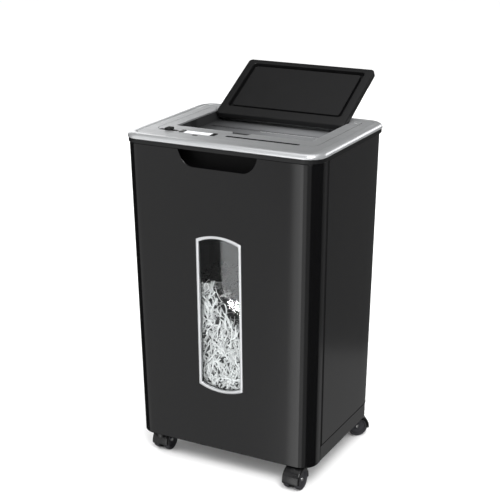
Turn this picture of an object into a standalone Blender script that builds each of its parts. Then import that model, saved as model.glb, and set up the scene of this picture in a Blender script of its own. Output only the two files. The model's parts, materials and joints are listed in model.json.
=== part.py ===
"""Deskside auto-feed paper shredder on casters, modelled as an assembly of separate pieces.

Metres, +Z up, +X to the right and -Y to the front. The origin is on the floor, under the middle
of the head. The waste drawer is shut, the feed cover stands open behind its tray, and every
moving piece has its origin on its joint's axis.
"""
import math

import bmesh
import bpy
from mathutils import Matrix, Vector

# Overall sizes
HEAD_W = 0.345           # silver rim, side to side
HEAD_D = 0.270           # silver rim, front to rear
CABINET_H = 0.5065       # drawer front, bottom edge to top edge
FLOOR_GAP = 0.040        # drawer front above the floor
CORNER_R = 0.028         # upright corners of the cabinet
RIM_CORNER_R = 0.029     # corners of the rim in plan
CABINET_SIDE_INSET = 0.0026
CABINET_FRONT_INSET = 0.002
CABINET_REAR_INSET = 0.007
SIDE_TAPER = 0.009       # each side leans in by this much towards the floor
FRONT_TAPER = 0.008
REAR_TAPER = 0.008

# Clearances
GAP = 0.0003             # between pieces that touch
SEAM = 0.0008            # visible joint line between panels
RUN = 0.0005             # round a turning shaft
OVER = 0.01              # how far a cutting shape reaches past the face it cuts

# Cabinet
PANEL_T = 0.0025
SEAM_BACK = 0.037        # drawer front wraps back this far
REAR_RETURN = 0.031      # side panels wrap round the rear corners this far
BASE_H = 0.0255
BASE_LIFT = 0.002        # base edge above the drawer front's lower edge
BASE_FLOOR_T = 0.003
BASE_STEP = 0.0015       # plinth wall inside the cabinet's skin
BASE_WALL = 0.003
BASE_RECESS = 0.002      # inner wall and bosses above the plinth's lower edge
VENT_W, VENT_H, VENT_PITCH, VENT_COUNT = 0.120, 0.004, 0.012, 5
VENT_DROP = 0.026        # lowest vent below the cutter axes
INLET_W, INLET_H, INLET_D = 0.028, 0.022, 0.016
INLET_X = 0.115
INLET_WALL, INLET_PROUD = 0.002, 0.0015
PRONG_W, PRONG_H, PRONG_X, PRONG_Z = 0.0018, 0.004, 0.007, 0.002
INLET_DROP = 0.0465      # bottom of the power inlet below the cabinet top

# Head
BAND_H = 0.0065          # dark band under the rim
BAND_INSET = 0.0013
RIM_H = 0.008
RIM_W = 0.0152
RIM_ROUND = 0.0072       # rounding of the rim's outer top edge
RIM_LEDGE = 0.006
DECK_T = 0.0025
DECK_SINK = 0.0005       # deck below the rim's top
SKIRT_DROP = 0.018
SKIRT_T = 0.0025
GROOVE_W, GROOVE_DEPTH = 0.0009, 0.0007
GROOVE_SIDE = 0.0155     # joint line inside the deck's edge
GROOVE_R = 0.012

# Feed tray and cover
TRAY_W = 0.242
TRAY_FRONT, TRAY_REAR = -0.049, 0.104
TRAY_DEPTH = 0.0184      # deck top to tray floor
TRAY_WALL = 0.0025
NOTCH_W, NOTCH_D, NOTCH_DEPTH = 0.030, 0.0115, 0.008
NOTCH_MOUTH, NOTCH_TIP = 0.002, 0.001   # how far its sides spread and close in
THROAT_MARGIN, THROAT_D, THROAT_Y = 0.0095, 0.010, 0.0475
COVER_SIDE_GAP = 0.0019
COVER_T = 0.0112
COVER_SKIN = 0.0025
COVER_TAIL = 0.010       # cover behind its hinge line
COVER_PIVOT_Y = 0.0883
COVER_PIVOT_DROP = 0.0036
COVER_OPEN = 29.2        # degrees above level when open
COVER_CORNER_R = 0.007
COVER_BORDER = 0.014
PIN_R = 0.0028
PIN_REACH = 0.0105
HOLLOW_TIP = 0.010       # solid borders ahead of and behind the cover's hollow
HOLLOW_R = 0.006
PRESSER_T, PRESSER_MARGIN, PRESSER_R = 0.006, 0.006, 0.004

# Controls on the deck
CONTROL_Y = -0.081
CARD_SLOT_X0, CARD_SLOT_MARGIN, CARD_SLOT_GAP = -0.0115, 0.002, 0.0046
KNOB_X, KNOB_W, KNOB_D, KNOB_H = -0.115, 0.011, 0.014, 0.0036
KNOB_TRAVEL = 0.008
KNOB_STEM_W, KNOB_STEM_D, KNOB_STEM_DROP = 0.0036, 0.0026, 0.0045
BED_W, BED_D, BED_T, BED_SINK = 0.033, 0.009, 0.003, 0.0006
BED_SLOT_EXTRA, BED_SLOT_D = 0.0046, 0.0036
BUTTON_W, BUTTON_D = 0.0075, 0.0145
BUTTON_X = (-0.0905, -0.0335)
BUTTON_RISE = 0.0010
BUTTON_SKIRT = 0.0016    # keycap below the deck
BUTTON_STEM_W, BUTTON_STEM_H = 0.003, 0.0018
TRIM_RISE = 0.0002       # lens, light and plug above the deck
LENS_X, LENS_W = -0.062, 0.046
LED_X, LED_Y, LED_W, LED_D = -0.0585, -0.0975, 0.010, 0.004
PLUG_X, PLUG_Y, PLUG_W, PLUG_D = 0.131, 0.103, 0.013, 0.019
BOARD_W, BOARD_D, BOARD_T = 0.120, 0.034, 0.0016
BOARD_DROP = 0.0075      # board below the deck
BOARD_MARGIN = 0.022     # board's left edge beyond the slide switch
SWITCH_BODY_W, SWITCH_BODY_H = 0.006, 0.0018
GUIDE_T = 0.0012         # card guide

# Drawer
CUTOUT_W, CUTOUT_FLOOR_W, CUTOUT_H, CUTOUT_R = 0.139, 0.090, 0.0265, 0.012
CUTOUT_BULGE, CUTOUT_BEND = 0.0035, 1.6  # fullness and bend of the cutout's sides
POCKET_MARGIN, POCKET_D, POCKET_LIP, POCKET_WALL = 0.010, 0.026, 0.014, 0.002
WINDOW_W, WINDOW_SILL, WINDOW_DROP, WINDOW_RISE = 0.0804, 0.1133, 0.0460, 0.0087
WINDOW_BAND = 0.0047     # silver line round the window
WINDOW_LIP = 0.0024      # part of that line that laps over the panel
WINDOW_PROUD = 0.0012
PANE_T = 0.0015
TUB_CLEAR = 0.0105       # bin below the chassis
TUB_T = 0.002
TUB_SIDE_GAP = 0.012
TUB_REAR_GAP = 0.010
RAIL_X, RAIL_W, RAIL_H, RAIL_GROOVE = 0.105, 0.018, 0.008, 0.0085
RAIL_FRONT, RAIL_REAR = 0.020, 0.012    # rail ends inside the cabinet
RAIL_FLOOR = 0.003
RUNNER_SLACK = 0.0006    # each side of a runner in its groove
TUB_LIFT = 0.0035        # tub floor above its rails
TUB_R = 0.012            # upright corners of the tub
TAB_X, TAB_W, TAB_H = 0.135, 0.008, 0.005
TAB_RISE, TAB_REST_GAP = 0.006, 0.0006
SWITCH_Y, SWITCH_W, SWITCH_D, SWITCH_H = 0.0445, 0.014, 0.020, 0.0165
SWITCH_TIP_W, SWITCH_TIP_D, SWITCH_TIP_H = 0.006, 0.002, 0.004

# Cutting block
CHASSIS_DROP = 0.086     # chassis below the cabinet top
CHASSIS_T = 0.002
CHASSIS_FRONT = 0.043    # chassis edge behind the front of the head
CHASSIS_SIDE, CHASSIS_REAR = 0.003, 0.008
FLANGE_H = 0.015
SHELF_W, SHELF_T, SHELF_DROP = 0.013, 0.0022, 0.014
SHELF_AHEAD = 0.012      # shelf's front end behind the seam
PLATE_T = 0.005
PLATE_MARGIN = 0.0045    # inner face of each side plate inside the tray width
SHAFT_RISE = 0.0365      # cutter axes above the chassis
SHAFT_SPACING = 0.033
NIP_Y = -0.010
JOURNAL_R = 0.005
CORE_R = 0.011
DISC_R = 0.0183
DISC_T = 0.0062
DISC_COUNT = 11
DISC_MARGIN = 0.0165     # outermost disc's middle to the side plate
ROLLER_RISE = 0.031      # feed roller above the cutter axes
ROLLER_R = 0.009
ROLLER_SHAFT_R = 0.0035
TYRE_W, TYRE_X = 0.024, 0.050
PINCH_R = 0.0055
PAPER_GAP = 0.0014
PINCH_SHAFT_R = 0.0025
MOTOR_R, MOTOR_LENGTH = 0.0225, 0.080
MOTOR_SHAFT_R, MOTOR_BORE_R, MOTOR_HOLE_R = 0.0020, 0.0026, 0.0036
MOTOR_ANGLE = -27.3      # of the motor seen from the compound gear, in degrees
COMPOUND_PIN_R, COMPOUND_PIN_REACH = 0.003, 0.016
PLATE_FRONT = 0.048      # side plates ahead of the nip
PLATE_REAR = 0.003       # and behind the motor can
PLATE_R = 0.006
GEAR_T = 0.006
GEAR_GAP = 0.001         # between one gear and the next along a shaft
SHAFT_RIGHT, SHAFT_LEFT = 0.0165, 0.008   # shaft ends beyond the side plates
CORE_GAP = 0.0015        # disc core to side plate
COMB_T, COMB_BAR, COMB_GAP = 0.003, 0.006, 0.0015
COMB_CLEAR = 0.0024      # width a comb's finger gives up between two discs
SHRED_GAP_L = 0.052

# Gears: teeth and module
SYNC_TEETH = 14
SYNC_MODULE = SHAFT_SPACING / SYNC_TEETH
DRIVE_TEETH, DRIVE_PINION_TEETH, DRIVE_MODULE = 34, 9, 0.002
WHEEL_TEETH, MOTOR_TEETH, WHEEL_MODULE = 28, 8, 0.0015
FEED_DRIVE_TEETH, FEED_TEETH, FEED_MODULE = 27, 30, 0.0015

# Casters
WHEEL_R, WHEEL_W, WEB_W = 0.0175, 0.0105, 0.0085
HOOD_R, HOOD_T = 0.0205, 0.0016
CASTER_TRAIL = 0.012
CASTER_X, CASTER_FRONT_Y, CASTER_REAR_Y = 0.130, -0.1045, 0.103
STEM_R, STEM_TOP = 0.004, 0.0615
BOSS_R = 0.0085
HUB_R = 0.0045
HOOD_SIDE = 0.0006       # hood wider than the wheels
HOOD_SKIRT = 0.003       # hood's edge below the wheel axis
WHEEL_CLEAR = 0.0012     # wheel inside its hood
WHEEL_DISH, WHEEL_EDGE = 0.0025, 0.0012
SWIVEL_R = 0.0095
WHEEL_STEPS = 20
CASTERS = (("front_left", -1, CASTER_FRONT_Y, 180.0), ("front_right", 1, CASTER_FRONT_Y, 0.0),
           ("rear_left", -1, CASTER_REAR_Y, 180.0), ("rear_right", 1, CASTER_REAR_Y, 126.9))

# Heights worked out from the sizes above
CAB_BOTTOM = FLOOR_GAP
CAB_TOP = CAB_BOTTOM + CABINET_H
BASE_BOTTOM = CAB_BOTTOM + BASE_LIFT
BASE_TOP = BASE_BOTTOM + BASE_H
SIDE_BOTTOM = BASE_TOP + GAP
BAND_BOTTOM = CAB_TOP + GAP
BAND_TOP = BAND_BOTTOM + BAND_H
RIM_BOTTOM = BAND_TOP + GAP
RIM_TOP = RIM_BOTTOM + RIM_H
DECK_TOP = RIM_TOP - DECK_SINK
DECK_BOTTOM = DECK_TOP - DECK_T
TRAY_FLOOR = DECK_TOP - TRAY_DEPTH
COVER_PIVOT_Z = DECK_TOP - COVER_PIVOT_DROP
FRONT_TILT = math.atan2(FRONT_TAPER, CABINET_H)
HEAD_FRONT, HEAD_REAR = -HEAD_D / 2, HEAD_D / 2
DECK_X = HEAD_W / 2 - RIM_W - GAP
DECK_FRONT, DECK_REAR = HEAD_FRONT + RIM_W + GAP, HEAD_REAR - RIM_W - GAP
DECK_R = RIM_CORNER_R - RIM_W
CHASSIS_TOP = CAB_TOP - CHASSIS_DROP
TUB_TOP = CHASSIS_TOP - TUB_CLEAR
WINDOW_LOW, WINDOW_HIGH = CAB_BOTTOM + WINDOW_SILL, TUB_TOP - WINDOW_DROP
SHAFT_Z = CHASSIS_TOP + SHAFT_RISE
ROLLER_Z = SHAFT_Z + ROLLER_RISE
INLET_Z = CAB_TOP - INLET_DROP

# Widths worked out from the feed tray
COVER_W = TRAY_W - 2 * COVER_SIDE_GAP
THROAT_W = TRAY_W - 2 * THROAT_MARGIN
PLATE_X = TRAY_W / 2 - PLATE_MARGIN
CARD_SLOT_X1 = PLATE_X - CARD_SLOT_MARGIN
DISC_PITCH = 2 * (PLATE_X - DISC_MARGIN) / (DISC_COUNT - 1)

# Local planes: the first two axes hold an outline, the third is its thickness
FLAT = Matrix.Identity(4)
ACROSS = Matrix(((0, 0, 1, 0), (1, 0, 0, 0), (0, 1, 0, 0), (0, 0, 0, 1)))    # outline in Y and Z
UPRIGHT = Matrix(((1, 0, 0, 0), (0, 0, -1, 0), (0, 1, 0, 0), (0, 0, 0, 1)))  # outline in X and Z

COLOURS = {
    "charcoal_paint": ((0.028, 0.029, 0.031), 0.38, 0.0),
    "black_plastic": ((0.012, 0.012, 0.013), 0.45, 0.0),
    "grey_plastic": ((0.16, 0.165, 0.17), 0.5, 0.0),
    "silver_plastic": ((0.62, 0.63, 0.64), 0.32, 0.6),
    "frost_plastic": ((0.82, 0.84, 0.85), 0.3, 0.0),
    "clear_pane": ((0.10, 0.11, 0.12), 0.08, 0.0),
    "tub_plastic": ((0.05, 0.05, 0.052), 0.5, 0.0),
    "steel": ((0.45, 0.46, 0.47), 0.35, 1.0),
    "rubber": ((0.02, 0.02, 0.02), 0.85, 0.0),
    "gear_plastic": ((0.55, 0.53, 0.48), 0.5, 0.0),
    "board_green": ((0.02, 0.10, 0.05), 0.5, 0.0),
}


# ---------------------------------------------------------------- scene and modelling helpers
def clear_scene():
    for obj in list(bpy.context.scene.objects):
        bpy.data.objects.remove(obj, do_unlink=True)


def collection(name):
    group = bpy.data.collections.new(name)
    bpy.context.scene.collection.children.link(group)
    return group


def material(name):
    found = bpy.data.materials.get(name)
    if found:
        return found
    colour, roughness, metallic = COLOURS[name]
    made = bpy.data.materials.new(name)
    made.use_nodes = True
    shader = made.node_tree.nodes["Principled BSDF"]
    shader.inputs["Base Color"].default_value = (*colour, 1.0)
    shader.inputs["Roughness"].default_value = roughness
    shader.inputs["Metallic"].default_value = metallic
    return made


def part(name, mesh, look, pivot=(0.0, 0.0, 0.0), parent=None):
    """A named piece, its mesh drawn in world coordinates and its origin moved to the pivot."""
    mesh.name = name
    mesh.transform(Matrix.Translation(-Vector(pivot)))
    obj = bpy.data.objects.new(name, mesh)
    PARTS.objects.link(obj)
    obj.location = pivot
    own = material(look).copy()
    own.name = name + "_" + look
    mesh.materials.clear()
    mesh.materials.append(own)
    if parent:
        obj.parent = parent
        obj.matrix_parent_inverse = Matrix.Translation(-parent.location)
    return obj


def empty(name, pivot):
    obj = bpy.data.objects.new(name, None)
    PARTS.objects.link(obj)
    obj.location = pivot
    obj.empty_display_size = 0.03
    return obj


def tool(name, mesh):
    """A cutter or a joined shape, kept out of the render."""
    obj = bpy.data.objects.new(name, mesh)
    CUTTERS.objects.link(obj)
    obj.hide_render = True
    obj.display_type = "WIRE"
    return obj


def boolean(obj, operation, meshes):
    for number, mesh in enumerate(meshes):
        helper = tool(f"{obj.name}_{operation.lower()}_{number}", mesh)
        modifier = obj.modifiers.new(helper.name, "BOOLEAN")
        modifier.operation = operation
        modifier.solver = "EXACT"
        modifier.object = helper
    return obj


def cut(obj, *meshes):
    return boolean(obj, "DIFFERENCE", meshes)


def join(obj, *meshes):
    return boolean(obj, "UNION", meshes)


def keep(obj, *meshes):
    return boolean(obj, "INTERSECT", meshes)


def evaluated_mesh(obj):
    """The object's finished mesh, welded, with the object and its helpers removed."""
    graph = bpy.context.evaluated_depsgraph_get()
    mesh = bpy.data.meshes.new_from_object(obj.evaluated_get(graph))
    helpers = [modifier.object for modifier in obj.modifiers if modifier.type == "BOOLEAN"]
    for item in [obj, *helpers]:
        bpy.data.objects.remove(item, do_unlink=True)
    bm = bmesh.new()
    bm.from_mesh(mesh)
    bmesh.ops.remove_doubles(bm, verts=bm.verts, dist=0.000001)
    bmesh.ops.recalc_face_normals(bm, faces=bm.faces)
    bm.to_mesh(mesh)
    bm.free()
    return mesh


def smooth(obj, degrees=35.0):
    obj.data.shade_smooth()
    obj.data.set_sharp_from_angle(angle=math.radians(degrees))
    return obj


def prism(z0, z1, low, high=None, radius=0.0, segments=8, top_round=0.0, top_segments=3):
    """An upright block from z0 to z1. low and high are its (x0, x1, y0, y1) at each end."""
    high = high or low
    bm = bmesh.new()
    bmesh.ops.create_cube(bm, size=2.0)
    for vert in bm.verts:
        x0, x1, y0, y1 = high if vert.co.z > 0 else low
        vert.co = (x1 if vert.co.x > 0 else x0, y1 if vert.co.y > 0 else y0,
                   z1 if vert.co.z > 0 else z0)
    if radius > 0:
        upright = [e for e in bm.edges if abs(e.verts[0].co.z - e.verts[1].co.z) > (z1 - z0) / 2]
        bmesh.ops.bevel(bm, geom=upright, offset=radius, offset_type="OFFSET", segments=segments,
                        profile=0.5, affect="EDGES", clamp_overlap=True)
    if top_round > 0:
        rim = [e for e in bm.edges if all(abs(v.co.z - z1) < 1e-6 for v in e.verts)]
        bmesh.ops.bevel(bm, geom=rim, offset=top_round, offset_type="OFFSET",
                        segments=top_segments, profile=0.5, affect="EDGES", clamp_overlap=True)
    mesh = bpy.data.meshes.new("prism")
    bm.to_mesh(mesh)
    bm.free()
    return mesh


def box(x0, x1, y0, y1, z0, z1):
    return prism(z0, z1, (x0, x1, y0, y1))


def cylinder(radius, start, end, segments=16):
    """A round bar between two points."""
    start, end = Vector(start), Vector(end)
    bm = bmesh.new()
    bmesh.ops.create_cone(bm, cap_ends=True, segments=segments, radius1=radius, radius2=radius,
                          depth=(end - start).length)
    turn = Vector((0, 0, 1)).rotation_difference(end - start).to_matrix().to_4x4()
    bm.transform(Matrix.Translation((start + end) / 2) @ turn)
    mesh = bpy.data.meshes.new("cylinder")
    bm.to_mesh(mesh)
    bm.free()
    return mesh


def plate(outline, holes, thickness, plane=FLAT):
    """A flat piece from a closed outline and its holes, centred on its plane."""
    curve = bpy.data.curves.new("outline", "CURVE")
    curve.dimensions = "2D"
    curve.fill_mode = "BOTH"
    curve.extrude = thickness / 2
    for points in (outline, *holes):
        spline = curve.splines.new("POLY")
        spline.points.add(len(points) - 1)
        for spot, (u, v) in zip(spline.points, points):
            spot.co = (u, v, 0.0, 1.0)
        spline.use_cyclic_u = True
    obj = bpy.data.objects.new("outline", curve)
    bpy.context.scene.collection.objects.link(obj)
    mesh = evaluated_mesh(obj)
    bpy.data.curves.remove(curve)
    mesh.transform(plane)
    return mesh


def turned(profile, steps, plane=FLAT, closed=False):
    """A round piece from (radius, height) points that run down its outer side."""
    mesh = bpy.data.meshes.new("profile")
    count = len(profile)
    edges = [(i, i + 1) for i in range(count - 1)] + ([(count - 1, 0)] if closed else [])
    mesh.from_pydata([(r, 0.0, h) for r, h in profile], edges, [])
    obj = bpy.data.objects.new("profile", mesh)
    bpy.context.scene.collection.objects.link(obj)
    screw = obj.modifiers.new("turn", "SCREW")
    screw.axis = "Z"
    screw.angle = math.tau
    screw.steps = screw.render_steps = steps
    screw.use_merge_vertices = True
    screw.merge_threshold = 0.00001
    made = evaluated_mesh(obj)
    made.transform(plane)
    return made


def at(x=0.0, y=0.0, z=0.0):
    return Matrix.Translation((x, y, z))


def arc(cx, cy, radius, start, end, count):
    """Points on an arc, angles in degrees."""
    step = (end - start) / count
    return [(cx + radius * math.cos(math.radians(start + step * i)),
             cy + radius * math.sin(math.radians(start + step * i))) for i in range(count + 1)]


def rounded(x0, x1, y0, y1, radius, count=6):
    """Outline of a rectangle with round corners, anticlockwise."""
    radius = min(radius, (x1 - x0) / 2 - 1e-5, (y1 - y0) / 2 - 1e-5)
    return (arc(x1 - radius, y0 + radius, radius, -90, 0, count)
            + arc(x1 - radius, y1 - radius, radius, 0, 90, count)
            + arc(x0 + radius, y1 - radius, radius, 90, 180, count)
            + arc(x0 + radius, y0 + radius, radius, 180, 270, count))


def circle(cx, cy, radius, count=16):
    return arc(cx, cy, radius, 0, 360 - 360 / count, count - 1)


# ---------------------------------------------------------------- tapered cabinet
def cabinet_rect(z, inset=0.0):
    """The cabinet's (x0, x1, y0, y1) at a height, moved in by an inset."""
    down = (CAB_TOP - z) / CABINET_H
    half = HEAD_W / 2 - CABINET_SIDE_INSET - SIDE_TAPER * down - inset
    front = HEAD_FRONT + CABINET_FRONT_INSET + FRONT_TAPER * down + inset
    rear = HEAD_REAR - CABINET_REAR_INSET - REAR_TAPER * down - inset
    return (-half, half, front, rear)


def cabinet_block(z0, z1, inset=0.0, segments=8):
    return prism(z0, z1, cabinet_rect(z0, inset), cabinet_rect(z1, inset),
                 radius=max(CORNER_R - inset, 0.001), segments=segments)


def front_y(z):
    return cabinet_rect(z)[2]


def behind_seam(offset):
    """A block that fills everything behind the slanted line where the drawer front ends."""
    z0, z1, wide = CAB_BOTTOM - OVER, CAB_TOP + OVER, HEAD_W
    low = front_y(z0) + SEAM_BACK + offset
    high = front_y(z1) + SEAM_BACK + offset
    return prism(z0, z1, (-wide, wide, low, HEAD_D), (-wide, wide, high, HEAD_D))


def side_panel(name, side):
    """Half of the cabinet's shell, from the seam round the rear corner."""
    obj = part(name, cabinet_block(SIDE_BOTTOM, CAB_TOP), "charcoal_paint")
    cut(obj, cabinet_block(SIDE_BOTTOM - OVER, CAB_TOP + OVER, PANEL_T))
    keep(obj, behind_seam(SEAM))
    edge = HEAD_W / 2 - REAR_RETURN
    far = HEAD_W
    wanted = (edge, far) if side > 0 else (-far, -edge)
    keep(obj, box(*wanted, -HEAD_D, HEAD_D, 0.0, CAB_TOP + OVER))
    return smooth(obj)


def rear_panel():
    edge = HEAD_W / 2 - REAR_RETURN - SEAM
    obj = part("rear_panel", cabinet_block(SIDE_BOTTOM, CAB_TOP), "charcoal_paint")
    cut(obj, cabinet_block(SIDE_BOTTOM - OVER, CAB_TOP + OVER, PANEL_T))
    keep(obj, box(-edge, edge, 0.0, HEAD_D, 0.0, CAB_TOP + OVER))
    for row in range(VENT_COUNT):
        z = SHAFT_Z - VENT_DROP + row * VENT_PITCH
        cut(obj, box(-VENT_W / 2, VENT_W / 2, HEAD_D / 4, HEAD_D, z, z + VENT_H))
    cut(obj, box(INLET_X - INLET_W / 2, INLET_X + INLET_W / 2, HEAD_D / 4, HEAD_D,
                 INLET_Z, INLET_Z + INLET_H))
    return obj


def power_inlet():
    """Three-pin socket body in the rear panel, with its pins inside."""
    z0 = INLET_Z + GAP
    z1 = z0 + INLET_H - 2 * GAP
    x0, x1 = INLET_X - INLET_W / 2 + GAP, INLET_X + INLET_W / 2 - GAP
    back = cabinet_rect(z0)[3] + INLET_PROUD
    floor = back - INLET_D + 2 * INLET_WALL
    obj = part("power_inlet", box(x0, x1, back - INLET_D, back, z0, z1), "black_plastic")
    cut(obj, box(x0 + INLET_WALL, x1 - INLET_WALL, floor, back + OVER,
                 z0 + INLET_WALL, z1 - INLET_WALL))
    mid = (z0 + z1) / 2
    for place in (-1, 0, 1):
        x = INLET_X + place * PRONG_X
        z = mid + (PRONG_Z if place == 0 else -PRONG_Z)
        join(obj, box(x - PRONG_W / 2, x + PRONG_W / 2, floor - INLET_WALL / 2,
                      back - 2 * INLET_PROUD, z - PRONG_H / 2, z + PRONG_H / 2))
    return obj


def base():
    """Plinth under the cabinet: a tray, open below, with a bored boss for each caster stem."""
    obj = part("base", cabinet_block(BASE_BOTTOM, BASE_TOP), "black_plastic")
    keep(obj, behind_seam(SEAM))
    inner = PANEL_T + BASE_STEP
    join(obj, cabinet_block(BASE_BOTTOM + BASE_RECESS, BASE_TOP, inner))
    cut(obj, cabinet_block(BASE_BOTTOM - OVER, BASE_TOP - BASE_FLOOR_T, inner + BASE_WALL))
    for _, side, y, _ in CASTERS:
        x = side * CASTER_X
        join(obj, cylinder(BOSS_R, (x, y, BASE_BOTTOM + 2 * BASE_RECESS),
                           (x, y, BASE_TOP - BASE_FLOOR_T / 3), 12))
        cut(obj, cylinder(STEM_R + RUN, (x, y, 0.0), (x, y, STEM_TOP + 2 * RUN), 12))
    return obj


def head_shelf(name, side):
    """Angle on each side panel that carries the chassis."""
    z1 = CHASSIS_TOP - CHASSIS_T - GAP
    outer = cabinet_rect(z1 - SHELF_DROP, PANEL_T + GAP)[1]
    span = (front_y(z1) + SEAM_BACK + SHELF_AHEAD, cabinet_rect(z1)[3] - CORNER_R - CHASSIS_T)
    obj = part(name, box(*sorted((side * (outer - SHELF_W), side * outer)), *span,
                         z1 - SHELF_T, z1), "steel")
    join(obj, box(*sorted((side * (outer - SHELF_T), side * outer)), *span, z1 - SHELF_DROP, z1))
    return obj


def drawer_rail(name, side):
    """Grooved rail on the base that guides the tub's runner."""
    x = side * RAIL_X
    z0 = BASE_TOP + GAP
    obj = part(name, box(x - RAIL_W / 2, x + RAIL_W / 2, *rail_span(), z0, z0 + RAIL_H), "steel")
    cut(obj, box(x - RAIL_GROOVE / 2, x + RAIL_GROOVE / 2, -HEAD_D, HEAD_D,
                 z0 + RAIL_FLOOR, z0 + RAIL_H + OVER))
    return obj


def rail_span():
    return (front_y(BASE_TOP) + RAIL_FRONT, cabinet_rect(BASE_TOP)[3] - RAIL_REAR)


# ---------------------------------------------------------------- waste drawer
def window_outline(grow=0.0):
    """Tall window with arched top and bottom, in X and height, grown outwards by grow."""
    half = WINDOW_W / 2
    radius = (half ** 2 + WINDOW_RISE ** 2) / (2 * WINDOW_RISE)
    spread = math.degrees(math.asin(half / radius))
    low = arc(0.0, WINDOW_LOW - WINDOW_RISE + radius, radius, 270 - spread, 270 + spread, 8)
    high = arc(0.0, WINDOW_HIGH + WINDOW_RISE - radius, radius, 90 - spread, 90 + spread, 8)
    middle = (WINDOW_LOW + WINDOW_HIGH) / 2
    tall = WINDOW_HIGH + WINDOW_RISE - middle
    return [(u * (half + grow) / half, middle + (v - middle) * (tall + grow) / tall)
            for u, v in low + high]


def window_plate(outline, holes, thickness, depth):
    """A plate parallel to the leaning front, its front face depth behind that front."""
    pivot = at(0.0, front_y(CAB_BOTTOM), CAB_BOTTOM)
    lean = Matrix.Rotation(FRONT_TILT, 4, "X")
    back = at(0.0, depth + thickness / 2, 0.0)
    lower = at(0.0, 0.0, -CAB_BOTTOM)
    return plate(outline, holes, thickness, pivot @ lean @ back @ lower @ UPRIGHT)


def cutout_outline(grow=0.0):
    """Handle cutout: open at the panel's top edge, narrower at its floor, with soft corners."""
    wide, narrow = CUTOUT_W / 2 + grow, CUTOUT_FLOOR_W / 2 + grow
    floor = CAB_TOP - CUTOUT_H - grow
    tall, over = CAB_TOP - floor, OVER / 2
    right = []
    for step in range(7):
        share = step / 6
        bulge = math.sin(math.pi * share) * CUTOUT_BULGE
        right.append((narrow + (wide - narrow) * share + bulge, floor + tall * share ** CUTOUT_BEND))
    right.append((wide + (wide - narrow) / tall * over, CAB_TOP + over))
    return right + [(-u, v) for u, v in reversed(right)]


def drawer_front(parent):
    obj = part("drawer_front", cabinet_block(CAB_BOTTOM, CAB_TOP), "charcoal_paint",
               parent=parent)
    cut(obj, cabinet_block(CAB_BOTTOM - OVER, CAB_TOP + OVER, PANEL_T), behind_seam(0.0))
    deep = 16 * PANEL_T
    handle = plate(cutout_outline(), [], deep, at(0.0, front_y(CAB_TOP), 0.0) @ UPRIGHT)
    cut(obj, handle)
    cut(obj, window_plate(window_outline(-WINDOW_LIP), [], deep, -deep / 2))
    return smooth(obj)


def window_frame(parent):
    """Silver surround: a thin flange on the panel and a sleeve through it."""
    inner = window_outline(-WINDOW_BAND)
    flange = window_plate(window_outline(), [inner], WINDOW_PROUD, -WINDOW_PROUD - GAP)
    obj = part("window_frame", flange, "silver_plastic", parent=parent)
    sleeve = window_plate(window_outline(-WINDOW_LIP - GAP), [inner],
                          PANEL_T + GAP + 0.0004, -GAP - 0.0003)
    return join(obj, sleeve)


def window_pane(parent):
    pane = window_plate(window_outline(-WINDOW_BAND - GAP), [], PANE_T, 0.0)
    return part("window_pane", pane, "clear_pane", parent=parent)


def handle_pocket(parent):
    """Scoop behind the cutout, open to the front and above."""
    half = CUTOUT_W / 2 + POCKET_MARGIN
    z0 = CAB_TOP - CUTOUT_H - POCKET_LIP
    z1 = CAB_TOP - GAP
    low = front_y(z0) + PANEL_T + GAP
    high = front_y(z1) + PANEL_T + GAP
    back = high + POCKET_D
    obj = part("handle_pocket", prism(z0, z1, (-half, half, low, back), (-half, half, high, back)),
               "black_plastic", parent=parent)
    wall = POCKET_WALL
    return cut(obj, box(-half + wall, half - wall, -HEAD_D, back - wall, z0 + wall, z1 + OVER))


def tub_rect(z, inset=0.0):
    x0, x1, y0, y1 = cabinet_rect(z)
    half = x1 - PANEL_T - TUB_SIDE_GAP - inset
    return (-half, half, y0 + PANEL_T + GAP + 0.0002 + inset, y1 - PANEL_T - TUB_REAR_GAP - inset)


def tub_floor():
    return BASE_TOP + GAP + RAIL_H + TUB_LIFT


def bin_tub(parent):
    """Open-topped bin, with an opening behind the window and two runners below."""
    z0 = tub_floor()
    obj = part("bin_tub", prism(z0, TUB_TOP, tub_rect(z0), tub_rect(TUB_TOP), TUB_R, 4),
               "tub_plastic", parent=parent)
    cut(obj, prism(z0 + TUB_T, TUB_TOP + OVER, tub_rect(z0 + TUB_T, TUB_T),
                   tub_rect(TUB_TOP + OVER, TUB_T), TUB_R - TUB_T, 4))
    cut(obj, window_plate(window_outline(-WINDOW_BAND), [], 10 * TUB_T, 0.0))
    y0, y1 = rail_span()
    half = RAIL_GROOVE / 2 - RUNNER_SLACK
    for side in (-1, 1):
        x = side * RAIL_X
        join(obj, box(x - half, x + half, y0 + TUB_T, y1 - RAIL_REAR,
                      BASE_TOP + GAP + RAIL_FLOOR + RUN, z0 + TUB_T / 2))
    return obj


def interlock_tab(parent):
    """Finger on the drawer front that closes the safety switch."""
    z0 = CHASSIS_TOP + TAB_RISE
    y0, y1 = front_y(z0) + PANEL_T + RUN, switch_front() - TAB_REST_GAP
    return part("interlock_tab", box(TAB_X - TAB_W / 2, TAB_X + TAB_W / 2, y0, y1, z0, z0 + TAB_H),
                "black_plastic", parent=parent)


def switch_front():
    return HEAD_FRONT + SWITCH_Y


def interlock_switch():
    tip = switch_front()
    y0, z0 = tip + SWITCH_TIP_D, CHASSIS_TOP + TAB_RISE + RUN
    obj = part("interlock_switch", box(TAB_X - SWITCH_W / 2, TAB_X + SWITCH_W / 2, y0,
                                       y0 + SWITCH_D, CHASSIS_TOP + GAP, CHASSIS_TOP + SWITCH_H),
               "grey_plastic")
    return join(obj, box(TAB_X - SWITCH_TIP_W / 2, TAB_X + SWITCH_TIP_W / 2, tip,
                         tip + 1.5 * SWITCH_TIP_D, z0, z0 + SWITCH_TIP_H))


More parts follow.
